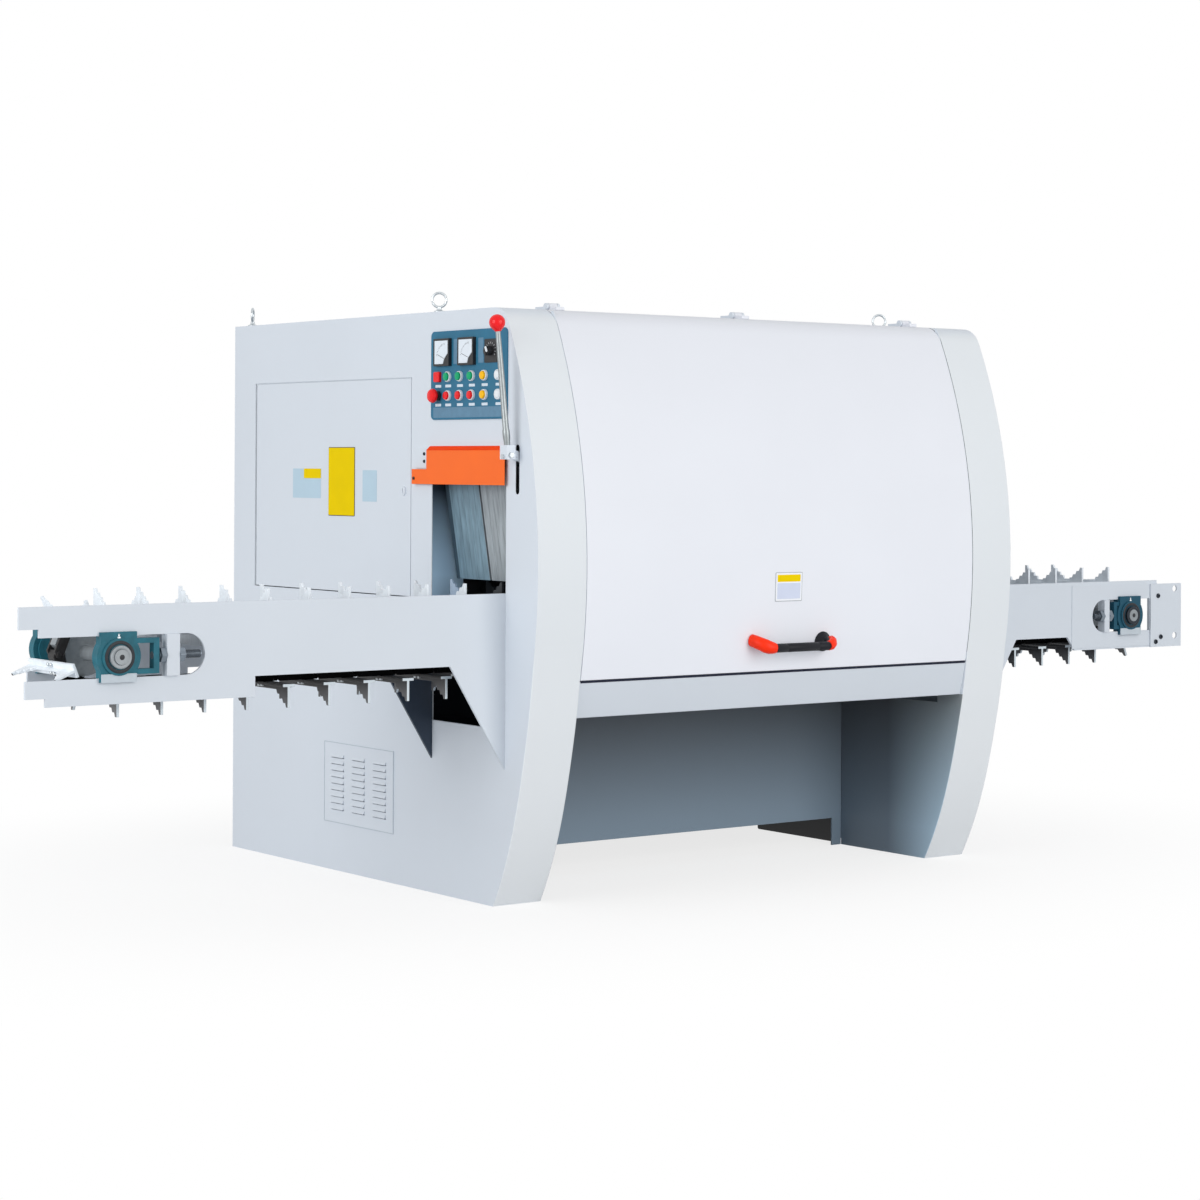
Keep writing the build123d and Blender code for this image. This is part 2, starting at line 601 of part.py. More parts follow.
for button_name, (column, row) in BUTTONS.items():
    with BuildPart() as button:
        with BuildSketch(Plane.YZ.offset(PANEL_FACE - BUTTON_GAP)):
            with Locations((FRONT + BUTTON_COLUMNS[column], row)):
                Circle(BUTTON_RADIUS)
        extrude(amount=BUTTON_GAP - BUTTON_PROUD)
        with BuildSketch(Plane.YZ.offset(PANEL_FACE - BUTTON_GAP)):
            with Locations((FRONT + BUTTON_COLUMNS[column], row)):
                Rectangle(STEM, STEM)
        extrude(amount=BUTTON_GAP + PANEL_THICKNESS)
    save(button.part, button_name)

with BuildPart() as emergency_stop:
    with BuildSketch(Plane.YZ.offset(PANEL_FACE - 16)):
        with Locations(STOP_PLACE):
            Circle(21)
    extrude(amount=-16)
    chamfer(emergency_stop.faces().sort_by(Axis.X)[0].edges(), length=5, length2=9)
    with BuildSketch(Plane.YZ.offset(PANEL_FACE - 16)):
        with Locations(STOP_PLACE):
            Rectangle(STOP_STEM, STOP_STEM)
    extrude(amount=16 + PANEL_THICKNESS)
save(emergency_stop.part, "emergency_stop")

with BuildPart() as speed_knob:
    with BuildSketch(Plane.YZ.offset(PANEL_FACE)):
        with Locations(KNOB_PLACE):
            Circle(14)
    extrude(amount=-18)
    slab(
        (PANEL_FACE - 22, KNOB_PLACE[0] - 3, KNOB_PLACE[1] - 14),
        (PANEL_FACE - 18, KNOB_PLACE[0] + 3, KNOB_PLACE[1] + 14),
    )
save(speed_knob.part, "speed_knob")

# Orange guard over the infeed mouth, folded back to the face at its top
GUARD_PROUD = 14
GUARD_SHEET = 3
GUARD_LOW = 1195
GUARD_HIGH = 1306
GUARD_LEFT_END = FRONT + 336
GUARD_TAB_END = FRONT + 414
GUARD_TAB_HIGH = 1239
GUARD_RIGHT_END = FRONT - 64

with BuildPart() as feed_guard:
    with BuildSketch(Plane.YZ.offset(LEFT - GUARD_PROUD)):
        with BuildLine():
            Polyline(
                (GUARD_RIGHT_END, GUARD_LOW),
                (GUARD_TAB_END, GUARD_LOW),
                (GUARD_TAB_END, GUARD_TAB_HIGH),
                (GUARD_LEFT_END, GUARD_TAB_HIGH),
                (GUARD_LEFT_END, GUARD_HIGH - 12),
                (GUARD_RIGHT_END, GUARD_HIGH - 12),
                close=True,
            )
        make_face()
    extrude(amount=GUARD_SHEET)
    with BuildSketch(Plane.XZ.offset(-GUARD_RIGHT_END)):
        with BuildLine():
            Polyline(
                (LEFT - GUARD_PROUD, GUARD_HIGH - 12),
                (LEFT - GUARD_PROUD + GUARD_SHEET, GUARD_HIGH - 12),
                (LEFT, GUARD_HIGH - GUARD_SHEET),
                (LEFT, GUARD_HIGH),
                close=True,
            )
        make_face()
    extrude(amount=GUARD_RIGHT_END - GUARD_LEFT_END)
    slab(
        (LEFT - GUARD_PROUD + GUARD_SHEET, GUARD_TAB_END - GUARD_SHEET, GUARD_LOW),
        (LEFT, GUARD_TAB_END, GUARD_TAB_HIGH),
    )
save(feed_guard.part, "feed_guard")

# Kickback fingers on their shaft, and the lever that lifts them
FINGER_COUNT = 12
FINGER_PITCH = 29
FINGER_WIDTH = 28.2
FINGER_THICKNESS = 12
FINGER_LENGTH = 345
FINGER_LEAN = 9
LEVER_BOSS = (LEFT - 34, 1288)
LEVER_ARM = 12
LEVER_HUB = 24
LEVER_TOP = (LEFT - 70, 1630)
LEVER_ROD_RADIUS = 9
BALL_RADIUS = 23
finger_middle = (NEAR_PLATE + FAR_PLATE) / 2

with BuildPart() as kickback_fingers:
    rod(FINGER_SHAFT, FINGER_SHAFT_RADIUS, LEVER_Y - LEVER_ARM / 2 - 12, FAR_PLATE + SHEET + 12)
    for number in range(FINGER_COUNT):
        gap = 4 if number >= FINGER_COUNT / 2 else -4
        finger_y = finger_middle + (number - (FINGER_COUNT - 1) / 2) * FINGER_PITCH + gap
        with BuildSketch(Plane.XZ.offset(-(finger_y - FINGER_WIDTH / 2))):
            with Locations(Location((FINGER_SHAFT[0], FINGER_SHAFT[1]), FINGER_LEAN)):
                with Locations((-FINGER_SHAFT_RADIUS - 3 + FINGER_THICKNESS / 2, -FINGER_LENGTH / 2)):
                    Rectangle(FINGER_THICKNESS, FINGER_LENGTH)
        extrude(amount=-FINGER_WIDTH)
save(kickback_fingers.part, "kickback_fingers")

with BuildPart() as lifting_lever:
    with BuildSketch(Plane.XZ.offset(-(LEVER_Y - LEVER_ARM / 2))):
        with BuildLine():
            Polyline(
                (FINGER_SHAFT[0], FINGER_SHAFT[1] + 14),
                (LEVER_BOSS[0], LEVER_BOSS[1] + 14),
                (LEVER_BOSS[0], LEVER_BOSS[1] - 14),
                (FINGER_SHAFT[0], FINGER_SHAFT[1] - 14),
                close=True,
            )
        make_face()
        with Locations(FINGER_SHAFT):
            Circle(LEVER_HUB)
            Circle(FINGER_SHAFT_RADIUS, mode=Mode.SUBTRACT)
    extrude(amount=-LEVER_ARM)
    with Locations((LEVER_BOSS[0], LEVER_Y, LEVER_BOSS[1])):
        Box(30, 34, 40)
    lean = Vector(LEVER_TOP[0] - LEVER_BOSS[0], 0, LEVER_TOP[1] - LEVER_BOSS[1])
    with BuildSketch(Plane(origin=(LEVER_BOSS[0], LEVER_Y, LEVER_BOSS[1]), z_dir=lean)):
        Circle(LEVER_ROD_RADIUS + RUNNING_GAP)
    extrude(amount=lean.length, mode=Mode.SUBTRACT)
save(lifting_lever.part, "lifting_lever")

with BuildPart() as lever_ball:
    with BuildSketch(Plane(origin=(LEVER_BOSS[0], LEVER_Y, LEVER_BOSS[1]), z_dir=lean)):
        Circle(LEVER_ROD_RADIUS)
    extrude(amount=lean.length)
    ball_centre = Vector(LEVER_TOP[0], LEVER_Y, LEVER_TOP[1]) + lean.normalized() * (BALL_RADIUS - 3)
    with Locations(ball_centre):
        Sphere(BALL_RADIUS)
save(lever_ball.part, "lever_ball")

# Lifting eyes on the four corners of the top
EYE_RADIUS = 26
EYE_HOLE = 17
EYE_THICKNESS = 14
EYE_SHANK = 12
EYE_Z = BODY_HEIGHT + EYE_SHANK + EYE_RADIUS
EYE_PLACES = [
    (LEFT + 45, FRONT + 360, -37),
    (LEFT + 45, FRONT + 1465, 53),
    (RIGHT - 45, FRONT + 360, -37),
    (RIGHT - 45, FRONT + 1465, 20),
]

with BuildPart() as lifting_eyes:
    for eye_x, eye_y, turn in EYE_PLACES:
        with BuildSketch(Plane.XZ) as eye:
            with Locations((0, EYE_Z)):
                Circle(EYE_RADIUS)
            window((-EYE_SHANK, BODY_HEIGHT), (EYE_SHANK, EYE_Z - EYE_HOLE))
            with Locations((0, EYE_Z)):
                Circle(EYE_HOLE, mode=Mode.SUBTRACT)
        with Locations(Location((eye_x, eye_y, 0), (0, 0, turn))):
            add(extrude(eye.sketch, amount=EYE_THICKNESS / 2, both=True, mode=Mode.PRIVATE))
save(lifting_eyes.part, "lifting_eyes")

# Conveyor side plates
INFEED_TIP = LEFT - INFEED_REACH
FAR_INFEED_TIP = INFEED_TIP + 180
TIP_NOTCH = 55
TIP_NOTCH_HEIGHT = 22
LOWER_TIP_SET_BACK = 18
PLATE_IN = INFEED_DRIVE_X + 105
PLATE_OUT = OUTFEED_DRIVE_X - 105
OUTFEED_TIP = RIGHT + 860
SLOT_LOW = AXIS_Z - SLOT_HEIGHT / 2
SLOT_HIGH = AXIS_Z + SLOT_HEIGHT / 2
INFEED_SLOT_END = LEFT - 955
OUTFEED_SLOT_START = RIGHT + 543
OUTFEED_SLOT_END = RIGHT + 822
DOUBLER_START = RIGHT + 445
DOUBLER = 2
STOP_BLOCK_DEPTH = 30
INFEED_STOP = (LEFT - 1071, LEFT - 1034)
OUTFEED_STOP = (RIGHT + 592, RIGHT + 616)
SCREW_RADIUS = 10


def stop_block(ends, middle_y):
    """Block welded across a take-up slot, with the bore that the screw goes through."""
    slab(
        (ends[0], middle_y - STOP_BLOCK_DEPTH / 2, SLOT_LOW),
        (ends[1], middle_y + STOP_BLOCK_DEPTH / 2, SLOT_HIGH),
    )
    with BuildSketch(Plane.YZ.offset(ends[0])) as bore:
        with Locations((middle_y, AXIS_Z)):
            Circle(SCREW_RADIUS + RUNNING_GAP)
    extrude(bore.sketch, amount=ends[1] - ends[0], mode=Mode.SUBTRACT)


def infeed_plate(outer_y, inward, tip, top):
    """Infeed side plate: forked and notched tip with the take-up slot, cutaway and gusset."""
    lower_tip = tip + LOWER_TIP_SET_BACK
    with BuildPart() as plate:
        with BuildSketch(Plane.XZ.offset(-outer_y)):
            with BuildLine():
                Polyline(
                    (PLATE_IN, PLATE_BOTTOM),
                    (PLATE_IN, top),
                    (tip, top),
                    (tip, SLOT_HIGH + TIP_NOTCH_HEIGHT),
                    (tip + TIP_NOTCH, SLOT_HIGH + TIP_NOTCH_HEIGHT),
                    (tip + TIP_NOTCH, SLOT_HIGH),
                    (INFEED_SLOT_END - SLOT_HEIGHT / 2, SLOT_HIGH),
                )
                RadiusArc(
                    (INFEED_SLOT_END - SLOT_HEIGHT / 2, SLOT_HIGH),
                    (INFEED_SLOT_END - SLOT_HEIGHT / 2, SLOT_LOW),
                    SLOT_HEIGHT / 2,
                )
                Polyline(
                    (INFEED_SLOT_END - SLOT_HEIGHT / 2, SLOT_LOW),
                    (lower_tip, SLOT_LOW),
                    (lower_tip, PLATE_BOTTOM + TIP_NOTCH_HEIGHT),
                    (lower_tip + TIP_NOTCH, PLATE_BOTTOM + TIP_NOTCH_HEIGHT),
                    (lower_tip + TIP_NOTCH, PLATE_BOTTOM),
                    (LEFT - 805, PLATE_BOTTOM),
                    (LEFT - 805, CUTAWAY_Z),
                    (LEFT - GUSSET_REACH, CUTAWAY_Z),
                    (LEFT, GUSSET_FOOT),
                    (LEFT, PLATE_BOTTOM),
                    (PLATE_IN, PLATE_BOTTOM),
                )
            make_face()
            with Locations((INFEED_DRIVE_X, AXIS_Z)):
                Circle(SHAFT_RADIUS + 6, mode=Mode.SUBTRACT)
        extrude(amount=-inward * PLATE)
        stop_block(INFEED_STOP, outer_y + inward * PLATE / 2)
    return plate.part


def outfeed_plate(outer_y, inward, top):
    """Outfeed side plate: gusset, cutaway and a doubled end with the take-up window."""
    with BuildPart() as plate:
        with BuildSketch(Plane.XZ.offset(-outer_y)):
            with BuildLine():
                Polyline(
                    (PLATE_OUT, PLATE_BOTTOM),
                    (PLATE_OUT, top),
                    (OUTFEED_TIP, top),
                    (OUTFEED_TIP, PLATE_BOTTOM + 10),
                    (RIGHT + 460, PLATE_BOTTOM + 10),
                    (RIGHT + 426, CUTAWAY_Z),
                    (RIGHT + GUSSET_REACH, CUTAWAY_Z),
                    (RIGHT, GUSSET_FOOT),
                    (RIGHT, PLATE_BOTTOM),
                    close=True,
                )
            make_face()
            with Locations((OUTFEED_DRIVE_X, AXIS_Z)):
                Circle(SHAFT_RADIUS + 6, mode=Mode.SUBTRACT)
        extrude(amount=-inward * PLATE)
        with BuildSketch(Plane.XZ.offset(-outer_y)):
            window((DOUBLER_START, PLATE_BOTTOM + 16), (OUTFEED_TIP, top - 10))
        extrude(amount=inward * DOUBLER)
        with BuildSketch(Plane.XZ.offset(-outer_y)):
            with Locations((OUTFEED_SLOT_START + SLOT_HEIGHT / 2, AXIS_Z)):
                Circle(SLOT_HEIGHT / 2)
            window((OUTFEED_SLOT_START + SLOT_HEIGHT / 2, SLOT_LOW), (OUTFEED_SLOT_END, SLOT_HIGH))
        extrude(amount=PLATE, both=True, mode=Mode.SUBTRACT)
        stop_block(OUTFEED_STOP, outer_y + inward * PLATE / 2)
    return plate.part


save(infeed_plate(NEAR_PLATE, 1, INFEED_TIP, INFEED_TOP), "infeed_near_plate")
save(infeed_plate(FAR_PLATE, -1, FAR_INFEED_TIP, FAR_TOP), "infeed_far_plate")
save(outfeed_plate(NEAR_PLATE, 1, OUTFEED_TOP), "outfeed_near_plate")
save(outfeed_plate(FAR_PLATE, -1, FAR_TOP), "outfeed_far_plate")

# Extension plates at the outfeed end, each with two bolt holes
EXTENSION_START = RIGHT + 823
EXTENSION_END = RIGHT + OUTFEED_REACH
EXTENSION_LOW = 645
EXTENSION_HIGH = 860
EXTENSION_SHEET = 6
BOLT_X = EXTENSION_END - 32
BOLT_MIDDLE_Z = 762
BOLT_SPACING = 160
BOLT_HOLE = 11

with BuildPart() as extension_plates:
    for outer_y in (NEAR_PLATE - DOUBLER, FAR_PLATE + DOUBLER + EXTENSION_SHEET):
        with BuildSketch(Plane.XZ.offset(-outer_y)):
            window((EXTENSION_START, EXTENSION_LOW), (EXTENSION_END, EXTENSION_HIGH))
            with Locations((BOLT_X, BOLT_MIDDLE_Z)):
                with GridLocations(0, BOLT_SPACING, 1, 2):
                    Circle(BOLT_HOLE, mode=Mode.SUBTRACT)
        extrude(amount=EXTENSION_SHEET)
save(extension_plates.part, "extension_plates")

# Chain tracks on cross ties between the side plates
TRACK_WIDTH = 28
TRACK_TOP = AXIS_Z + PITCH_RADIUS - BLOCK_HALF_HEIGHT - 0.4
TRACK_HEIGHT = 30
TIE_LENGTH = 40
TIE_HEIGHT = 30
TRACK_SPANS = [
    (INFEED_IDLER_X + 110, INFEED_DRIVE_X - 110, [LEFT - 900, LEFT - 420, LEFT + 80, LEFT + 400]),
    (OUTFEED_DRIVE_X + 110, OUTFEED_IDLER_X - 110, [RIGHT - 300, RIGHT + 80, RIGHT + 420]),
]

with BuildPart() as chain_tracks:
    for start, end, ties in TRACK_SPANS:
        slab(
            (start, CONVEYOR_Y - TRACK_WIDTH / 2, TRACK_TOP - TRACK_HEIGHT),
            (end, CONVEYOR_Y + TRACK_WIDTH / 2, TRACK_TOP),
        )
        for tie_x in ties:
            slab(
                (tie_x, NEAR_PLATE + PLATE, TRACK_TOP - TRACK_HEIGHT - TIE_HEIGHT),
                (tie_x + TIE_LENGTH, FAR_PLATE - PLATE, TRACK_TOP - TRACK_HEIGHT),
            )
save(chain_tracks.part, "chain_tracks")


# Feed chains
def chain_places(left_x, straight_links):
    """Places of all links of one loop, in order, starting with the top strand over left_x."""
    right_x = left_x + straight_links * CHAIN_PITCH
    turn = 2 * pi / WHEEL_STEPS
    half = WHEEL_STEPS // 2
    pins = [(left_x + n * CHAIN_PITCH, AXIS_Z + PITCH_RADIUS) for n in range(straight_links)]
    for n in range(half):
        angle = pi / 2 - n * turn
        pins.append((right_x + PITCH_RADIUS * cos(angle), AXIS_Z + PITCH_RADIUS * sin(angle)))
    pins += [(right_x - n * CHAIN_PITCH, AXIS_Z - PITCH_RADIUS) for n in range(straight_links)]
    for n in range(half):
        angle = -pi / 2 - n * turn
        pins.append((left_x + PITCH_RADIUS * cos(angle), AXIS_Z + PITCH_RADIUS * sin(angle)))
    places = []
    for (x0, z0), (x1, z1) in zip(pins, pins[1:] + pins[:1]):
        slope = degrees(atan2(z1 - z0, x1 - x0))
        places.append(Location(((x0 + x1) / 2, CONVEYOR_Y, (z0 + z1) / 2), (0, -slope, 0)))
    return places


def link_outline():
    """Pointed link outline in (x, z) about the middle of a link."""
    with BuildSketch() as outline:
        with BuildLine():
            Polyline(
                (-CHAIN_PITCH / 2 - LINK_END, 0),
                (-CHAIN_PITCH / 2 + 2, BLOCK_HALF_HEIGHT),
                (CHAIN_PITCH / 2 - 2, BLOCK_HALF_HEIGHT),
                (CHAIN_PITCH / 2 + LINK_END, 0),
                (CHAIN_PITCH / 2 - 2, -BLOCK_HALF_HEIGHT),
                (-CHAIN_PITCH / 2 + 2, -BLOCK_HALF_HEIGHT),
                close=True,
            )
        make_face()
    return outline.sketch


infeed_links = chain_places(INFEED_IDLER_X, INFEED_STRAIGHT)
outfeed_links = chain_places(OUTFEED_DRIVE_X, OUTFEED_STRAIGHT)
block_places = infeed_links[1::2] + outfeed_links[0::2]
plate_places = infeed_links[0::2] + outfeed_links[1::2]

with BuildPart() as chain_block:
    with BuildSketch(Plane.XZ):
        add(link_outline())
    extrude(amount=BLOCK_WIDTH / 2, both=True)

with BuildPart() as link_plates:
    for plate_y in (-BLOCK_WIDTH / 2 - LINK_PLATE, BLOCK_WIDTH / 2):
        with BuildSketch(Plane.XZ.offset(-plate_y)):
            add(link_outline())
        extrude(amount=-LINK_PLATE)

feed_chains = Compound(
    [chain_block.part.moved(place) for place in block_places]
    + [link_plates.part.moved(place) for place in plate_places]
)
save(feed_chains, "feed_chains")

# V carrier: a stepped upright plate on a flat foot, bolted to each block
CARRIER_PLATE = 8
CARRIER_FLOOR = 10
CARRIER_STEPS = 4
STEP_SLOPE = 5
TIP_WIDTH = 9
SEAT_HALF_WIDTH = 60

with BuildPart() as carrier:
    foot_low = BLOCK_HALF_HEIGHT
    foot_high = BLOCK_HALF_HEIGHT + FOOT_THICKNESS
    slab((-FOOT_LENGTH / 2, -CARRIER_HALF_WIDTH, foot_low), (FOOT_LENGTH / 2, CARRIER_HALF_WIDTH, foot_high))
    step_rise = (CARRIER_TIP - CARRIER_FLOOR) / CARRIER_STEPS
    step_run = (CARRIER_HALF_WIDTH - TIP_WIDTH - SEAT_HALF_WIDTH) / CARRIER_STEPS
    stair = [(CARRIER_HALF_WIDTH, foot_high), (CARRIER_HALF_WIDTH, foot_high + CARRIER_TIP)]
    for step in range(CARRIER_STEPS):
        edge = CARRIER_HALF_WIDTH - TIP_WIDTH - step * step_run
        stair.append((edge, foot_high + CARRIER_TIP - step * step_rise))
        stair.append((edge - STEP_SLOPE, foot_high + CARRIER_TIP - (step + 1) * step_rise))
    with BuildSketch(Plane.YZ.offset(-CARRIER_PLATE / 2)):
        with BuildLine():
            Polyline(*stair, *[(-y, z) for y, z in reversed(stair)], close=True)
        make_face()
    extrude(amount=CARRIER_PLATE)

chain_carriers = Compound([carrier.part.moved(place) for place in block_places])
save(chain_carriers, "chain_carriers")

# Conveyor shafts: a shaft with a welded wheel whose teeth stand between the blocks
WHEEL_ROOT = 60
WHEEL_WIDTH = 30
TOOTH = [(55, 20), (77, 18.5), (92, 12)]


def conveyor_shaft(axis_x, first_tooth, y0, y1):
    """Shaft with its chain wheel, first_tooth degrees up from +X."""
    with BuildPart() as shaft:
        rod((axis_x, AXIS_Z), SHAFT_RADIUS, y0, y1)
        with BuildSketch(Plane.XZ.offset(-(CONVEYOR_Y - WHEEL_WIDTH / 2))):
            with Locations((axis_x, AXIS_Z)):
                Circle(WHEEL_ROOT)
                with PolarLocations(0, WHEEL_STEPS // 2, start_angle=first_tooth):
                    Polygon(*TOOTH, *[(u, -t) for u, t in reversed(TOOTH)], align=None)
        extrude(amount=-WHEEL_WIDTH)
    return shaft.part


def tooth_angle(axis_x):
    """Direction of the first pair of side plates that lies round the wheel at axis_x."""
    for place in plate_places:
        reach = place.position - Vector(axis_x, CONVEYOR_Y, AXIS_Z)
        if abs(reach.length - PITCH_RADIUS * cos(pi / WHEEL_STEPS)) < 1:
            return degrees(atan2(reach.Z, reach.X))
    raise ValueError("no link lies round this wheel")


GEARBOX_HALF = 85
GEARBOX_DEPTH = 150
gearbox_front = PARTITION + PARTITION_PLATE
IDLER_END = 28
DRIVE_END = 38
idler_span = (NEAR_PLATE - IDLER_END, FAR_PLATE + IDLER_END)
drive_span = (NEAR_PLATE - DRIVE_END, gearbox_front + GEARBOX_DEPTH)

save(conveyor_shaft(INFEED_IDLER_X, tooth_angle(INFEED_IDLER_X), *idler_span), "infeed_idler_shaft")
save(conveyor_shaft(INFEED_DRIVE_X, tooth_angle(INFEED_DRIVE_X), *drive_span), "infeed_drive_shaft")
save(conveyor_shaft(OUTFEED_DRIVE_X, tooth_angle(OUTFEED_DRIVE_X), *drive_span), "outfeed_drive_shaft")
save(conveyor_shaft(OUTFEED_IDLER_X, tooth_angle(OUTFEED_IDLER_X), *idler_span), "outfeed_idler_shaft")

# Take-up bearings: a ring housing that slides in the slot between two pairs of lips, with a yoke
# that the screw pulls on
HOUSING_RADIUS = 62
GUIDE_LENGTH = 102
HOUSING_LIP = 10
HOUSING_LIP_HEIGHT = 128
INFEED_YOKE = 116
OUTFEED_YOKE = -76
YOKE_HEIGHT = 92
YOKE_BAR = 13
YOKE_END = 16
YOKE_DEPTH = 24
BOSS_RADIUS = 48
BOSS_PROUD = 5
SLIDE_GAP = 0.4


def take_up_bearing(axis_x, yoke_reach, plate_low, plate_high, middle_y):
    """Housing round a plate that lies from plate_low to plate_high, its yoke reaching along X."""
    yoke_end = copysign(YOKE_END, yoke_reach)
    guide = GUIDE_LENGTH / 2
    slide_height = SLOT_HEIGHT - 2 * SLIDE_GAP
    with BuildPart() as bearing:
        with BuildSketch(Plane.XZ.offset(-(plate_low - HOUSING_LIP))) as ring:
            with Locations((axis_x, AXIS_Z)):
                Circle(HOUSING_RADIUS)
                Rectangle(2 * HOUSING_RADIUS, slide_height, mode=Mode.INTERSECT)
                Rectangle(GUIDE_LENGTH, slide_height)
        extrude(ring.sketch, amount=plate_low - plate_high - 2 * HOUSING_LIP)
        with BuildSketch(Plane.XZ.offset(-(middle_y - YOKE_DEPTH / 2))) as yoke:
            with Locations((axis_x + yoke_reach / 2, AXIS_Z)):
                Rectangle(abs(yoke_reach), YOKE_HEIGHT)
            with Locations((axis_x + yoke_reach / 2 - yoke_end, AXIS_Z)):
                Rectangle(abs(yoke_reach), YOKE_HEIGHT - 2 * YOKE_BAR, mode=Mode.SUBTRACT)
        extrude(yoke.sketch, amount=-YOKE_DEPTH)
        with BuildSketch(Plane.YZ.offset(axis_x + yoke_reach)) as screw_hole:
            with Locations((middle_y, AXIS_Z)):
                Circle(SCREW_RADIUS + RUNNING_GAP)
        extrude(screw_hole.sketch, amount=-yoke_end, mode=Mode.SUBTRACT)
        for lip_y in (plate_low - HOUSING_LIP, plate_high):
            slab(
                (axis_x - guide, lip_y, AXIS_Z - HOUSING_LIP_HEIGHT / 2),
                (axis_x + guide, lip_y + HOUSING_LIP, AXIS_Z + HOUSING_LIP_HEIGHT / 2),
            )
        boss_low = plate_low - HOUSING_LIP - BOSS_PROUD
        boss_high = plate_high + HOUSING_LIP + BOSS_PROUD
        rod((axis_x, AXIS_Z), BOSS_RADIUS, boss_low, boss_high)
        rod((axis_x, AXIS_Z), SHAFT_RADIUS + RUNNING_GAP, boss_low, boss_high, Mode.SUBTRACT)
    return bearing.part


near_middle = NEAR_PLATE + PLATE / 2
far_middle = FAR_PLATE - PLATE / 2
near_band = (NEAR_PLATE, NEAR_PLATE + PLATE, near_middle)
far_band = (FAR_PLATE - PLATE, FAR_PLATE, far_middle)
near_doubled = (NEAR_PLATE - DOUBLER, NEAR_PLATE + PLATE, near_middle)
far_doubled = (FAR_PLATE - PLATE, FAR_PLATE + DOUBLER, far_middle)

# Take-up screws: from the yoke through the stop block, with a nut on each side of the block
NUT_RADIUS = 21
NUT_LENGTH = 16
SCREW_SPARE = 12
TAKE_UPS = [
    (INFEED_IDLER_X + INFEED_YOKE - YOKE_END, INFEED_STOP, INFEED_SLOT_END - SCREW_SPARE),
    (OUTFEED_IDLER_X + OUTFEED_YOKE + YOKE_END, OUTFEED_STOP, OUTFEED_SLOT_START + SCREW_SPARE),
]

with BuildPart() as take_up_screws:
    for yoke_x, block, screw_end in TAKE_UPS:
        for plate_y in (near_middle, far_middle):
            with BuildSketch(Plane.YZ.offset(yoke_x)):
                with Locations((plate_y, AXIS_Z)):
                    Circle(SCREW_RADIUS)
            extrude(amount=screw_end - yoke_x)
            for nut_x in (block[0] - NUT_LENGTH, block[1]):
                with BuildSketch(Plane.YZ.offset(nut_x)):
                    with Locations((plate_y, AXIS_Z)):
                        RegularPolygon(NUT_RADIUS, 6)
                extrude(amount=NUT_LENGTH)
save(take_up_screws.part, "take_up_screws")

# Flange bearings of the drive shafts, on the outer faces of the side plates
FLANGE = 110
FLANGE_THICKNESS = 14
FLANGE_BOSS = 36


def flange_bearing(axis_x, face_y, outward):
    """Square flange with a round boss, on a plate face at face_y."""
    with BuildPart() as bearing:
        with BuildSketch(Plane.XZ.offset(-face_y)):
            with Locations((axis_x, AXIS_Z)):
                Rectangle(FLANGE, FLANGE)
        extrude(amount=outward * FLANGE_THICKNESS)
        with BuildSketch(Plane.XZ.offset(-face_y)):
            with Locations((axis_x, AXIS_Z)):
                Circle(FLANGE_BOSS)
        extrude(amount=outward * (FLANGE_THICKNESS + 16))
        rod((axis_x, AXIS_Z), SHAFT_RADIUS + RUNNING_GAP, NEAR_PLATE - 60, FAR_PLATE + 60, Mode.SUBTRACT)
    return bearing.part


conveyor_bearings = Compound(
    [
        take_up_bearing(INFEED_IDLER_X, INFEED_YOKE, *near_band),
        take_up_bearing(INFEED_IDLER_X, INFEED_YOKE, *far_band),
        take_up_bearing(OUTFEED_IDLER_X, OUTFEED_YOKE, *near_doubled),
        take_up_bearing(OUTFEED_IDLER_X, OUTFEED_YOKE, *far_doubled),
        flange_bearing(INFEED_DRIVE_X, NEAR_PLATE, 1),
        flange_bearing(INFEED_DRIVE_X, FAR_PLATE, -1),
        flange_bearing(OUTFEED_DRIVE_X, NEAR_PLATE, 1),
        flange_bearing(OUTFEED_DRIVE_X, FAR_PLATE, -1),
    ]
)
save(conveyor_bearings, "conveyor_bearings")

# Gear motors of the two drive shafts, behind the partition
FEED_MOTOR_RADIUS = 70
FEED_MOTOR_LENGTH = 230

with BuildPart() as feed_gearmotors:
    for drive_x, side in ((INFEED_DRIVE_X, -1), (OUTFEED_DRIVE_X, 1)):
        slab(
            (drive_x - GEARBOX_HALF, gearbox_front, AXIS_Z - GEARBOX_HALF),
            (drive_x + GEARBOX_HALF, gearbox_front + GEARBOX_DEPTH, AXIS_Z + GEARBOX_HALF),
        )
        with BuildSketch(Plane.YZ.offset(drive_x + side * GEARBOX_HALF)):
            with Locations((gearbox_front + GEARBOX_DEPTH / 2, AXIS_Z)):
                Circle(FEED_MOTOR_RADIUS)
        extrude(amount=side * FEED_MOTOR_LENGTH)
        rod(
            (drive_x, AXIS_Z),
            SHAFT_RADIUS + RUNNING_GAP,
            gearbox_front,
            gearbox_front + GEARBOX_DEPTH,
            Mode.SUBTRACT,
        )
save(feed_gearmotors.part, "feed_gearmotors")

# Arbors, blades, housings and main motors
HOUSING_FRONT = PARTITION + PARTITION_PLATE
HOUSING_BACK = FRONT + 700
MOTOR_BACK = FRONT + 1260
MOTOR_RADIUS = 165
HOUSING_RADIUS = 80
HOUSING_FLANGE = 110
ARBOR_NOSE = FRONT - 8
SLEEVE_FRONT = FRONT + 50
SLEEVE_BACK = FRONT + 220
COLLAR = 14


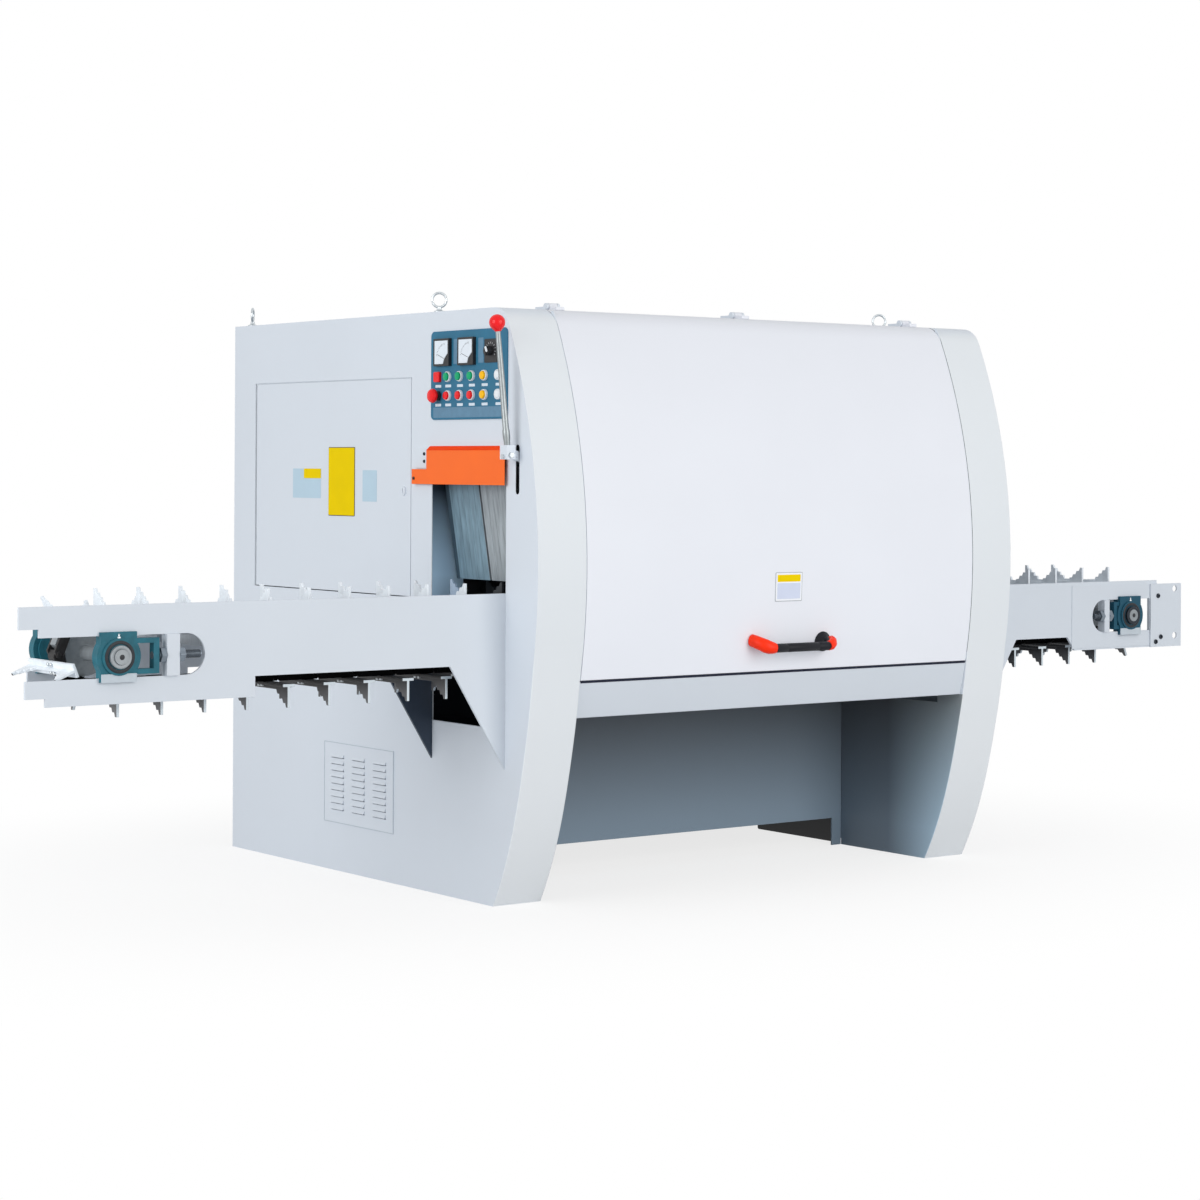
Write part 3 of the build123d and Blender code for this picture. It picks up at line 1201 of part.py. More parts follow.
def saw_arbor(place):
    """Arbor with its nut, clamp collars and spacing sleeve."""
    with BuildPart() as arbor:
        rod(place, ARBOR_RADIUS, SLEEVE_BACK, HOUSING_BACK + 90)
        rod(place, COLLAR_RADIUS, SLEEVE_BACK, SLEEVE_BACK + COLLAR)
        rod(place, SLEEVE_RADIUS, SLEEVE_FRONT, SLEEVE_BACK)
        rod(place, COLLAR_RADIUS, SLEEVE_FRONT - COLLAR, SLEEVE_FRONT)
        with BuildSketch(Plane.XZ.offset(-(SLEEVE_FRONT - COLLAR))):
            with Locations(place):
                RegularPolygon(SLEEVE_RADIUS, 6)
        extrude(amount=SLEEVE_FRONT - COLLAR - ARBOR_NOSE)
    return arbor.part


def saw_blades(place):
    """Blades on the sleeve, evenly spaced about the middle of the conveyor."""
    step = 360 / BLADE_TEETH
    rim = []
    for tooth in range(BLADE_TEETH):
        for turn, radius in ((0, BLADE_RADIUS), (0.75, BLADE_RADIUS - 20)):
            angle = (tooth + turn) * step * pi / 180
            rim.append((place[0] + radius * cos(angle), place[1] + radius * sin(angle)))
    with BuildPart() as blades:
        for number in (-1, 0, 1):
            blade_y = CONVEYOR_Y + number * BOARD_WIDTH - BLADE_THICKNESS / 2
            with BuildSketch(Plane.XZ.offset(-blade_y)):
                with BuildLine():
                    Polyline(*rim, close=True)
                make_face()
                with Locations(place):
                    Circle(SLEEVE_RADIUS, mode=Mode.SUBTRACT)
            extrude(amount=-BLADE_THICKNESS)
    return blades.part


for arbor_name, arbor_place in (("lower", LOWER_ARBOR), ("upper", UPPER_ARBOR)):
    save(saw_arbor(arbor_place), f"{arbor_name}_arbor")
    save(saw_blades(arbor_place), f"{arbor_name}_blades")

with BuildPart() as arbor_housings:
    for arbor_place in (LOWER_ARBOR, UPPER_ARBOR):
        rod(arbor_place, HOUSING_FLANGE, HOUSING_FRONT, HOUSING_FRONT + 22)
        rod(arbor_place, HOUSING_RADIUS, HOUSING_FRONT + 22, HOUSING_BACK - 22)
        rod(arbor_place, HOUSING_FLANGE, HOUSING_BACK - 22, HOUSING_BACK)
        rod(arbor_place, ARBOR_RADIUS + RUNNING_GAP, HOUSING_FRONT, HOUSING_BACK, Mode.SUBTRACT)
save(arbor_housings.part, "arbor_housings")

with BuildPart() as main_motors:
    for arbor_place in (LOWER_ARBOR, UPPER_ARBOR):
        rod(arbor_place, MOTOR_RADIUS, HOUSING_BACK, MOTOR_BACK)
        rod(arbor_place, ARBOR_RADIUS + RUNNING_GAP, HOUSING_BACK, HOUSING_BACK + 92, Mode.SUBTRACT)
        slab(
            (arbor_place[0] - 70, HOUSING_BACK + 150, arbor_place[1] + MOTOR_RADIUS - 20),
            (arbor_place[0] + 70, HOUSING_BACK + 310, arbor_place[1] + MOTOR_RADIUS + 40),
        )
save(main_motors.part, "main_motors")

# Hold-down roller ahead of the blades, on an arm that swings up
with BuildPart() as press_arm:
    with BuildSketch(Plane.XZ.offset(-PRESS_ARM_FRONT)):
        with Locations(PRESS_PIVOT):
            Circle(38)
        with Locations(PRESS_ROLLER):
            Circle(28)
        make_hull()
    extrude(amount=-PRESS_ARM)
    rod(PRESS_PIVOT, PRESS_SHAFT, PRESS_ARM_FRONT + PRESS_ARM, PARTITION)
    rod(PRESS_ROLLER, PRESS_AXLE, PRESS_ROLLER_FRONT - 14, PRESS_ARM_FRONT)
save(press_arm.part, "press_arm")

with BuildPart() as press_roller:
    rod(PRESS_ROLLER, PRESS_RADIUS, PRESS_ROLLER_FRONT, PRESS_ROLLER_BACK)
    rod(PRESS_ROLLER, PRESS_AXLE + RUNNING_GAP, PRESS_ROLLER_FRONT, PRESS_ROLLER_BACK, Mode.SUBTRACT)
save(press_roller.part, "press_roller")
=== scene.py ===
# %% [markdown]
# # Dressing a twin shaft log saw
# The machine is a tall white cabinet with a bowed hood. A chain conveyor brings logs in on the left
# and another takes the boards out on the right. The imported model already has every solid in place,
# so this lesson gives the solids their finishes and adds the small pieces that make them real.

# %% Load the frame
import math

import bmesh
import bpy
from mathutils import Matrix, Vector


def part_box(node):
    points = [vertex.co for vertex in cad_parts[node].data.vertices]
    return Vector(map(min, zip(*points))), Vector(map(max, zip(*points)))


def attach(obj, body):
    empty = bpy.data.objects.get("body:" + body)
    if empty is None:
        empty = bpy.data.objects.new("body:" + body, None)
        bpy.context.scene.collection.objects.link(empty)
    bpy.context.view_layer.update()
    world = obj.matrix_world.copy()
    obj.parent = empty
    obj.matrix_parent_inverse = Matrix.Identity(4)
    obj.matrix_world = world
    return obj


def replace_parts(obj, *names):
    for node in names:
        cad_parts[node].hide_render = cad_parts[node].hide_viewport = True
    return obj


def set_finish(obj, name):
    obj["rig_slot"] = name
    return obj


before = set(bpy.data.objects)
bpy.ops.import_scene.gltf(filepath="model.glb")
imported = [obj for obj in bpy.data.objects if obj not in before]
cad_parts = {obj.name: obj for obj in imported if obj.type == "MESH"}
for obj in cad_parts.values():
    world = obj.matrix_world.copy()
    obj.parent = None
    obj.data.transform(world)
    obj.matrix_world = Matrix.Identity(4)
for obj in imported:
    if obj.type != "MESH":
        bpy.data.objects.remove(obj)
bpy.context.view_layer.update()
scene = bpy.context.scene

# %% [markdown]
# ## One way to say where things are
# Drawings of this machine measure from the left face of the cabinet, from the line where the front
# feet meet the floor, and from the floor itself, in millimetres. One helper turns such a place into a
# point of the frame, so later cells can use drawing sizes. Another gives the pose of a small piece:
# its own z axis points out of the surface that it sits on, and its y axis points up. The third gives
# a stretch of one axis, by which a finish finds its part of a sheet.

# %% Drawing places
BODY_DEPTH = 1500
post_low, post_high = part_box("infeed_end_frame")
LEFT = post_low.x
FOOT = post_high.y - BODY_DEPTH / 1000
BODY_LENGTH = (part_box("outfeed_end_frame")[1].x - LEFT) * 1000
OUT_LEFT, OUT_RIGHT = (-1, 0, 0), (1, 0, 0)
OUT_FRONT, OUT_BACK = (0, -1, 0), (0, 1, 0)
OUT_TOP = (0, 0, 1)


def at(x, y, z):
    """Point of the frame, in metres, from drawing millimetres."""
    return Vector((LEFT + x / 1000, FOOT + y / 1000, z / 1000))


def upward(way, steep):
    """A direction to call up beside a way: z, or y where the way itself is steep."""
    return Vector((0, 0, 1)) if abs(way.z) < steep else Vector((0, 1, 0))


def seat(x, y, z, out):
    """Pose of a piece that sits at a drawing place and points out along a direction."""
    front = Vector(out).normalized()
    side = upward(front, 0.9).cross(front).normalized()
    up = front.cross(side)
    turn = Matrix((side, up, front)).transposed().to_4x4()
    return Matrix.Translation(at(x, y, z)) @ turn


def span(axis, low, high):
    """Stretch of one axis of the frame, in metres, from drawing millimetres."""
    index = "XYZ".index(axis)
    return axis, at(low, low, low)[index], at(high, high, high)[index]


print("left face at", round(LEFT, 3), "foot line at", round(FOOT, 3), "length", round(BODY_LENGTH))

# %% [markdown]
# ## Finishes
# Colours are noted as they look on a screen, so they are turned into the linear values that the
# shader works with. A picture could hold the wear of a surface, but noise needs no file and no
# unwrapping. Almost every finish here is one recipe: a colour that drifts a little, a roughness that
# drifts with it, and a fine bump. What changes is the size and the stretch of the noise: orange peel
# in paint, long scratches in rolled steel, coarse skin on castings.

# %% Finish recipe
DRIFT_FROM, DRIFT_TO = 0.3, 0.7
CLOUD_DETAIL = 6
PEEL_DEPTH = 0.002
packed_materials = len(bpy.data.materials)


def finish_count():
    """How many finishes and layers of finishes have been made so far."""
    return len(bpy.data.materials) - packed_materials


def tone(red, green, blue):
    """Linear colour from screen values of 0 to 255."""
    parts = [v / 255 for v in (red, green, blue)]
    return [p / 12.92 if p <= 0.04045 else ((p + 0.055) / 1.055) ** 2.4 for p in parts] + [1.0]


def shade(colour, share):
    """The same colour, lighter above 1 and darker below."""
    return [min(1.0, c * share) for c in colour[:3]] + [1.0]


def mapped(nodes, links, value, source=(0, 1), result=(0, 1), steps="LINEAR"):
    """A value carried over from one range to another."""
    carry = nodes.new("ShaderNodeMapRange")
    carry.interpolation_type = steps
    carry.inputs["From Min"].default_value, carry.inputs["From Max"].default_value = source
    carry.inputs["To Min"].default_value, carry.inputs["To Max"].default_value = result
    links.new(value, carry.inputs["Value"])
    return carry.outputs["Result"]


def finish(name, colour, drift, size, rough, peel, stretch=(1, 1, 1), **sockets):
    """A finish made of noise: drifting colour, drifting roughness and a bump of (scale, strength)."""
    material = bpy.data.materials.new(name)
    material.use_nodes = True
    nodes, links = material.node_tree.nodes, material.node_tree.links
    surface = nodes["Principled BSDF"]
    place = nodes.new("ShaderNodeTexCoord")
    scale = nodes.new("ShaderNodeMapping")
    scale.inputs["Scale"].default_value = stretch
    cloud = nodes.new("ShaderNodeTexNoise")
    cloud.inputs["Scale"].default_value = size
    cloud.inputs["Detail"].default_value = CLOUD_DETAIL
    ramp = nodes.new("ShaderNodeValToRGB")
    dark, light = ramp.color_ramp.elements
    dark.position, light.position = DRIFT_FROM, DRIFT_TO
    dark.color, light.color = shade(colour, 1 - drift), shade(colour, 1 + drift)
    skin = nodes.new("ShaderNodeTexNoise")
    bump = nodes.new("ShaderNodeBump")
    skin.inputs["Scale"].default_value, bump.inputs["Strength"].default_value = peel
    bump.inputs["Distance"].default_value = PEEL_DEPTH
    links.new(place.outputs["Object"], scale.inputs["Vector"])
    links.new(scale.outputs["Vector"], cloud.inputs["Vector"])
    links.new(scale.outputs["Vector"], skin.inputs["Vector"])
    links.new(cloud.outputs["Fac"], ramp.inputs["Fac"])
    links.new(ramp.outputs["Color"], surface.inputs["Base Color"])
    links.new(mapped(nodes, links, cloud.outputs["Fac"], result=rough), surface.inputs["Roughness"])
    links.new(skin.outputs["Fac"], bump.inputs["Height"])
    links.new(bump.outputs["Normal"], surface.inputs["Normal"])
    for socket, value in sockets.items():
        surface.inputs[socket.replace("_", " ")].default_value = value
    return material


print("a screen value of 128 is", round(tone(128, 128, 128)[0], 3), "in linear light")

# %% [markdown]
# ### A second colour on one sheet
# Some sheets have another colour on one side or in one place, and most of these colours are painted
# shade: the inside of the saw chamber is painted dark, the chip recess is blue-grey paint darkened as
# painted shade, and the lower run of the carriers is painted darker. A second material slot would
# need the mesh to be changed. A mask in the shader does not: it asks which way a face looks and where
# it lies.

# %% Second colour
FACING_SHARE = (0.5, 0.8)
DULLING = (0.5, 0.0)


def within(nodes, links, value, low, high):
    """One where a value lies between two limits, else zero."""
    test = nodes.new("ShaderNodeMath")
    test.operation = "COMPARE"
    test.inputs[1].default_value = (low + high) / 2
    test.inputs[2].default_value = (high - low) / 2
    links.new(value, test.inputs[0])
    return test.outputs["Value"]


def second_tone(base, name, colour, facing=None, zone=(), fade=None, mode="MIX", dull=False):
    """Copy of a finish with another colour on faces that look one way and lie in a zone.

    With fade, given as (colour, axis, low, high), the colour goes over into a second one.
    A dull zone also loses its gloss, so that it stays dark when seen at a low angle.
    """
    material = base.copy()
    material.name = name
    nodes, links = material.node_tree.nodes, material.node_tree.links
    place, surface = nodes["Texture Coordinate"], nodes["Principled BSDF"]
    spots = nodes.new("ShaderNodeSeparateXYZ")
    links.new(place.outputs["Object"], spots.inputs["Vector"])
    tests = [within(nodes, links, spots.outputs[axis], low, high) for axis, low, high in zone]
    if facing:
        side = nodes.new("ShaderNodeVectorMath")
        side.operation = "DOT_PRODUCT"
        side.inputs[1].default_value = facing
        links.new(place.outputs["Normal"], side.inputs[0])
        tests.append(mapped(nodes, links, side.outputs["Value"], FACING_SHARE))
    while len(tests) > 1:
        both = nodes.new("ShaderNodeMath")
        both.operation = "MULTIPLY"
        links.new(tests.pop(), both.inputs[0])
        links.new(tests.pop(), both.inputs[1])
        tests.append(both.outputs["Value"])
    blend = nodes.new("ShaderNodeMixRGB")
    blend.blend_type = mode
    blend.inputs["Fac"].default_value = 1.0
    blend.inputs["Color2"].default_value = colour
    if fade:
        far_colour, axis, low, high = fade
        drift = nodes.new("ShaderNodeMixRGB")
        drift.inputs["Color1"].default_value = colour
        drift.inputs["Color2"].default_value = far_colour
        links.new(mapped(nodes, links, spots.outputs[axis], (low, high)), drift.inputs["Fac"])
        links.new(drift.outputs["Color"], blend.inputs["Color2"])
    if tests:
        links.new(tests[0], blend.inputs["Fac"])
    if dull:
        links.new(mapped(nodes, links, tests[0], result=DULLING), surface.inputs["Specular IOR Level"])
    links.new(surface.inputs["Base Color"].links[0].from_socket, blend.inputs["Color1"])
    links.new(blend.outputs["Color"], surface.inputs["Base Color"])
    return material


print("a face counts as facing from", FACING_SHARE[0], "and fully from", FACING_SHARE[1])

# %% [markdown]
# ### Sheet paints
# The cabinet is powder coated: nearly white, satin, with a fine orange peel. The hood is a shade
# lighter, and its colour darkens a little towards its top as painted shade, where it leans away from
# the light. The chip recess is blue-grey paint, darkened as painted shade, and goes over into a dark
# grey painted shade under the rail.

# %% Sheet paints
SATIN = (0.4, 0.5)
MATT = {"Specular_IOR_Level": 0.2}
UNCHANGED = (1, 1, 1, 1)
# Chip recess: blue-grey paint darkened as painted shade, going over into dark grey painted shade.
RECESS_LOW, RECESS_SHADE = tone(134, 152, 168), tone(84, 86, 88)
# The hood's colour darkens towards its top: painted shade.
hood_shade_fade = ((0.93, 0.93, 0.93, 1), *span("Z", 650, 1150))
recess_shade_fade = (RECESS_SHADE, *span("Z", 100, 580))
white_paint = finish("white_paint", tone(215, 222, 230), 0.012, 2.5, SATIN, (420, 0.025))
hood_paint = finish("hood_paint", tone(233, 236, 243), 0.01, 2.5, SATIN, (420, 0.02))
hood_paint = second_tone(hood_paint, "hood_painted_shade", UNCHANGED, fade=hood_shade_fade, mode="MULTIPLY")
plate_paint = finish("plate_paint", tone(207, 214, 222), 0.015, 3, SATIN, (420, 0.03))
recess_paint = finish("recess_paint", RECESS_LOW, 0.05, 3.0, (0.45, 0.6), (420, 0.03), **MATT)
recess_paint = second_tone(recess_paint, "recess_painted_shade", RECESS_LOW, fade=recess_shade_fade)
print("sheet paints and their layers", finish_count())

# %% [markdown]
# ### Enamels
# The operator's panel is slate blue, the guard and the door plates have signal colours, the bearings
# and motors are castings under thick paint. Signal colours need nearly no shine, because a white
# reflection would wash them out. A coarse, strong bump makes the cast skin.

# %% Enamels
DULL = (0.5, 0.6)
CAST = (0.4, 0.6)
LOW_SHINE = {"Specular_IOR_Level": 0.05}
LABEL_STOCK = dict(drift=0.02, size=20, rough=SATIN, peel=(400, 0.02))
OUTFEED_END = (span("X", 2400, 2700),)
slate_enamel = finish("slate_enamel", tone(48, 110, 140), 0.08, 20, SATIN, (500, 0.03), **MATT)
slate_pale = finish("slate_pale", tone(98, 136, 162), 0.08, 60, SATIN, (500, 0.02), **MATT)
chip_white = finish("chip_white", tone(214, 226, 236), 0.04, 60, SATIN, (500, 0.02), **MATT)
orange_enamel = finish("orange_enamel", tone(255, 112, 40), 0.03, 10, SATIN, (400, 0.03), **MATT)
# A darker, duller copy of the orange for the lip of the guard: painted shade.
orange_painted_shade = finish("orange_painted_shade", tone(246, 68, 3), 0.04, 14, DULL, (400, 0.03), **LOW_SHINE)
yellow_enamel = finish("yellow_enamel", tone(238, 206, 0), 0.03, 12, DULL, (400, 0.02), **LOW_SHINE)
label_white = finish("label_white", tone(238, 241, 246), **LABEL_STOCK)
label_field = finish("label_field", tone(206, 214, 234), **LABEL_STOCK)
label_blue = finish("label_blue", tone(182, 207, 222), **LABEL_STOCK)
teal_enamel = finish("teal_enamel", tone(38, 101, 116), 0.2, 30, CAST, (160, 0.25), **MATT)
# The bearings at the right end are a darker teal.
teal_enamel = second_tone(teal_enamel, "teal_darker_at_right", tone(30, 78, 98), zone=OUTFEED_END)
motor_enamel = finish("motor_enamel", tone(88, 108, 128), 0.1, 12, CAST, (150, 0.2))
print("with enamels", finish_count())

# %% [markdown]
# ### Plastics and rubber
# Buttons and lamps are glossy and smooth, grips and housings are grained, seals are dull. The same
# recipe gives all of them: a smaller roughness for gloss, a finer and stronger bump for grain.

# %% Plastics and rubber
GLOSS = (0.15, 0.25)
CAP_GLOSS = dict(drift=0.05, size=60, rough=(0.2, 0.3), peel=(500, 0.01), **MATT)
RED_SHINE = {"Specular_IOR_Level": 0.3}
GLAZED = {"Coat_Weight": 0.4}
red_gloss = finish("red_gloss", tone(236, 16, 24), 0.05, 30, GLOSS, (300, 0.01), **RED_SHINE)
handle_red = finish("handle_red", tone(250, 50, 10), 0.05, 30, (0.35, 0.45), (500, 0.03), **MATT)
green_gloss = finish("green_gloss", tone(0, 164, 108), **CAP_GLOSS)
amber_gloss = finish("amber_gloss", tone(252, 190, 22), **CAP_GLOSS)
pale_gloss = finish("pale_gloss", tone(232, 236, 240), 0.03, 60, GLOSS, (500, 0.01))
dial_white = finish("dial_white", tone(226, 234, 242), 0.02, 40, (0.25, 0.35), (300, 0.01), **GLAZED)
black_plastic = finish("black_plastic", tone(28, 28, 31), 0.12, 60, (0.4, 0.55), (900, 0.12))
grip_black = finish("grip_black", tone(18, 20, 28), 0.15, 60, SATIN, (700, 0.1), **MATT)
seal_pale = finish("seal_pale", tone(212, 220, 228), 0.04, 80, (0.6, 0.7), (500, 0.05), **MATT)
# Navy for the seal under the hood: rubber, darkened as painted shade of the gap.
navy_seal_and_shade = finish("navy_seal_and_shade", tone(22, 26, 46), 0.1, 80, DULL, (500, 0.05), **MATT)
seal_black = finish("seal_black", tone(22, 26, 32), 0.2, 80, (0.5, 0.7), (500, 0.1))
device_grey = finish("device_grey", tone(70, 74, 80), 0.1, 30, (0.4, 0.55), (600, 0.06))
pale_line_grey = finish("pale_line_grey", tone(188, 198, 206), 0.04, 60, DULL, (600, 0.04))
duct_grey = finish("duct_grey", tone(150, 156, 162), 0.05, 30, DULL, (600, 0.05))
print("with plastics", finish_count())

# %% [markdown]
# ### The infeed end frame
# One bent and welded sheet makes the left end: a white front, a mouth that logs go into, a slot for
# the lever. Its front is painted lighter than its sides and lighter towards the foot: painted light.
# The wall of the tunnel behind the mouth is painted pale blue below and dark above, painted shade, and
# under the chain, deep in the tunnel and in the lever slot it is painted near black, painted shade.
# Its faces towards the chip recess take the recess colour and its painted shade. Depth swallows the
# light there, which the lamps of a scene do not know, so each place gets its painted tone. Layers that
# come later lie on top.

# %% Infeed frame paint
# Painted light: the front of the post is lighter than its sides, lighter still towards the foot.
POST_LOW, POST_HIGH = tone(231, 235, 238), tone(220, 225, 229)
# Painted shade on the wall of the tunnel: pale blue below, dark above.
CHAMBER_LOW, CHAMBER_HIGH = tone(190, 222, 246), tone(30, 42, 56)
# Near black painted shade under the chain, deep in the tunnel and in the lever slot.
SHADE_BLACK = tone(20, 22, 26)
lit_post_fade = (POST_HIGH, *span("Z", 50, 900))
tunnel_shade_fade = (CHAMBER_HIGH, *span("Z", 930, 1180))
across_post, behind_bow = span("X", 9, 158), span("Y", 60, 1490)
under_chain = (across_post, behind_bow, span("Z", 10, 750))
tunnel_wall = (across_post, behind_bow, span("Z", 750, 1690))
mouth_edge = (span("X", 2.5, 9), span("Y", 315, 335), span("Z", 750, 1300))
deep_tunnel = (span("X", 112, 168), behind_bow, span("Z", 750, 980))
slot_back = (span("X", 150, 160), span("Y", -140, -60))
slot_edge = (span("X", 1, 8), span("Y", -122, -98), span("Z", 1160, 1320))
lit_post_paint = second_tone(white_paint, "post_front", POST_LOW, OUT_FRONT, fade=lit_post_fade)
paint = second_tone(lit_post_paint, "infeed_shade_under_chain", SHADE_BLACK, zone=under_chain, dull=True)
paint = second_tone(paint, "infeed_tunnel", CHAMBER_LOW, zone=tunnel_wall, fade=tunnel_shade_fade)
paint = second_tone(paint, "infeed_mouth_edge", CHAMBER_LOW, zone=mouth_edge, fade=tunnel_shade_fade)
paint = second_tone(paint, "infeed_deep_tunnel", SHADE_BLACK, zone=deep_tunnel)
paint = second_tone(paint, "infeed_slot_back", SHADE_BLACK, OUT_LEFT, slot_back)
paint = second_tone(paint, "infeed_slot_edge", SHADE_BLACK, zone=slot_edge)
# Faces towards the chip recess: recess colour with its painted shade.
infeed_paint = second_tone(paint, "infeed_recess_shade", RECESS_LOW, OUT_RIGHT, fade=recess_shade_fade)
print("last layer of the infeed frame:", infeed_paint.name)

# %% [markdown]
# ### The outfeed end frame
# The right end is the same kind of sheet, seen from its inner side: the side of the chip recess,
# painted blue-grey as painted shade, with painted light at the front and painted shade that darkens
# the deeper it goes, and above it the opening that boards come out of, painted dark grey inside and
# grey on its floor, painted shade. A colour that multiplies what lies under it can also lighten, when
# its values are above one.

# %% Outfeed frame paint
# Painted shade: blue-grey on the inner side of the leg, grey on the floor of the opening.
RECESS_SIDE, FLOOR_GREY = tone(142, 166, 188), tone(128, 138, 148)
# Painted light at the front of the leg's inner side, painted shade deeper in.
SIDE_FRONT, SIDE_DEEP = (2.5, 2.42, 2.2, 1), (0.68, 0.63, 0.6, 1)
side_shade = dict(fade=(SIDE_DEEP, *span("Y", -140, 172)), mode="MULTIPLY")
under_rail = (span("Z", 0, 537),)
# The opening over the rail is painted dark grey inside: painted shade.
outfeed_reveal = (span("X", 1682, 1836), span("Y", -58, 330), span("Z", 500, 1310))
reveal_floor = (span("Z", 490, 520),)
paint = second_tone(lit_post_paint, "outfeed_tunnel", RECESS_SHADE, zone=outfeed_reveal)
paint = second_tone(paint, "outfeed_tunnel_floor", FLOOR_GREY, OUT_TOP, reveal_floor, dull=True)
paint = second_tone(paint, "outfeed_recess_shade", RECESS_SIDE, OUT_LEFT, fade=recess_shade_fade)
outfeed_paint = second_tone(
    paint, "outfeed_side_shade", SIDE_FRONT, OUT_LEFT, under_rail, **side_shade
)
print("last layer of the outfeed frame:", outfeed_paint.name)

# %% [markdown]
# ### Other sheets with two sides
# The leg facings follow the frames they stand on, with their painted light and shade. The far plates
# of the conveyors are painted navy where they look at the near ones and on their edges that look
# left, painted shade, the wall of the saw chamber is painted dark below and blue above, painted
# shade, and one sheet lies in full shade, painted near black.

# %% Facings, far plates and chamber wall
# Painted shade: navy on the far plates, dark below and blue above on the chamber wall.
NAVY_SHADE = tone(46, 60, 78)
PIT_LOW, PIT_HIGH = tone(46, 50, 56), tone(102, 128, 158)
NAVY_REACH = 700
beside_body = (span("X", -NAVY_REACH, BODY_LENGTH + NAVY_REACH),)
graded_pit = (PIT_HIGH, *span("Z", 900, 1200))
infeed_facing = second_tone(
    lit_post_paint, "infeed_facing", RECESS_LOW, OUT_RIGHT, under_rail, recess_shade_fade
)
outfeed_facing = second_tone(
    lit_post_paint, "outfeed_facing", RECESS_SIDE, OUT_LEFT, under_rail, recess_shade_fade
)
outfeed_facing = second_tone(
    outfeed_facing, "outfeed_facing_shade", SIDE_FRONT, OUT_LEFT, under_rail, **side_shade
)
far_paint = second_tone(plate_paint, "far_plate_edge_shade", NAVY_SHADE, OUT_LEFT, beside_body)
far_paint = second_tone(far_paint, "far_plate_inner_shade", NAVY_SHADE, OUT_FRONT, beside_body)
chamber_paint = second_tone(white_paint, "chamber_wall_shade", PIT_LOW, OUT_FRONT, fade=graded_pit)
# A sheet painted near black all over: painted shade.
shade_paint = second_tone(white_paint, "shade_paint", SHADE_BLACK)
print("paints and plastics in all", finish_count())

# %% [markdown]
# ### Steels
# Ground shafts and tracks are bright and lightly scratched along one axis, which stretched noise
# gives. Screws are duller. The kickback fingers are rolled steel with long streaks, tinted blue as
# painted shade where the tunnel lies round them, painted dark at the edge as painted shade, and darker
# under the guard as its painted shadow.

# %% Bright and dark steels
METAL = {"Metallic": 1.0}
GROUND, STREAKED = (1, 8, 1), (9, 9, 0.7)
# Painted shade on the fingers: blue in the tunnel, dark at the edge, the guard's shadow at the top.
BLUE_SHADE_TINT, EDGE_SHADE_TINT, GUARD_SHADOW_TINT = (0.58, 0.8, 0.92, 1), (0.22, 0.25, 0.28, 1), (0.45, 0.47, 0.5, 1)
finger_side, finger_edge = (span("Y", 140, 400),), (span("Y", 294, 400),)
guard_shadow_fade = (GUARD_SHADOW_TINT, *span("Z", 1080, 1280))
ground_steel = finish(
    "ground_steel", tone(176, 182, 188), 0.12, 40, (0.25, 0.4), (200, 0.06), GROUND, **METAL
)
zinc_steel = finish("zinc_steel", tone(196, 202, 206), 0.1, 90, (0.28, 0.45), (300, 0.05), **METAL)
blade_steel = finish("blade_steel", tone(186, 190, 194), 0.08, 30, (0.2, 0.35), (400, 0.03), **METAL)
rod_steel = finish("rod_steel", tone(142, 148, 150), 0.1, 60, (0.3, 0.42), (300, 0.03), Metallic=0.7)
collar_steel = finish(
    "collar_steel", tone(138, 144, 148), 0.12, 60, (0.35, 0.5), (300, 0.04), Metallic=0.25
)
screw_steel = finish(
    "screw_steel", tone(124, 134, 144), 0.15, 90, (0.3, 0.45), (300, 0.05), Metallic=0.8
)
dark_bolt = finish("dark_bolt", tone(44, 50, 58), 0.2, 120, (0.35, 0.5), (300, 0.1), Metallic=0.7)
steel = finish("finger_steel", tone(160, 168, 173), 0.22, 9, CAST, (60, 0.1), STREAKED, Metallic=0.3)
steel = second_tone(steel, "finger_blue_shade", BLUE_SHADE_TINT, zone=finger_side, mode="MULTIPLY")
steel = second_tone(steel, "finger_shaded", EDGE_SHADE_TINT, zone=finger_edge, mode="MULTIPLY")
finger_steel = second_tone(steel, "finger_guard_shadow", UNCHANGED, fade=guard_shadow_fade, mode="MULTIPLY")
print("with steels", finish_count())

# %% [markdown]
# ### Chain and carriers
# The carriers are the V plates that logs lie in, in pale steel. The lower run hangs under the plates
# in shade and is painted darker, painted shade that is darkest near the chain, and its ends that look
# to the front are painted light. Carriers inside the cabinet are painted near black and those in the
# mouth take a painted blue of the tunnel, their near arms near black: painted shade. All carriers are
# one solid, so the places tell them apart.

# %% Chain and carrier steel
# Painted shade on the lower run, darkest near the chain, and painted light on its ends that look to the
# front.
LOWER_RUN_SHADE, CHAIN_SIDE_SHADE, LIT_ENDS = tone(100, 100, 102), tone(26, 26, 28), tone(214, 224, 230)
# Painted shade inside the cabinet and in the mouth.
SHADE_TINT, MOUTH_SHADE_TINT = (0.02, 0.022, 0.024, 1), (0.5, 0.6, 0.72, 1)
ARM_SHADE_TINT = (0.03, 0.03, 0.03, 1)
lower_run_shade_fade = (CHAIN_SIDE_SHADE, *span("Z", 612, 660))
lower_run, upper_run = (span("Z", 0, 700),), span("Z", 700, 1000)
inside = (span("X", 95, 1750), upper_run)
in_mouth = (span("X", 5, 95), upper_run)
near_arm = (*in_mouth, span("Y", -70, 110))
steel = finish("carrier_steel", tone(232, 239, 246), 0.1, 25, CAST, (150, 0.1))
steel = second_tone(steel, "carrier_lower_run_shade", LOWER_RUN_SHADE, zone=lower_run, fade=lower_run_shade_fade)
steel = second_tone(steel, "carrier_lit_ends", LIT_ENDS, OUT_FRONT, lower_run)
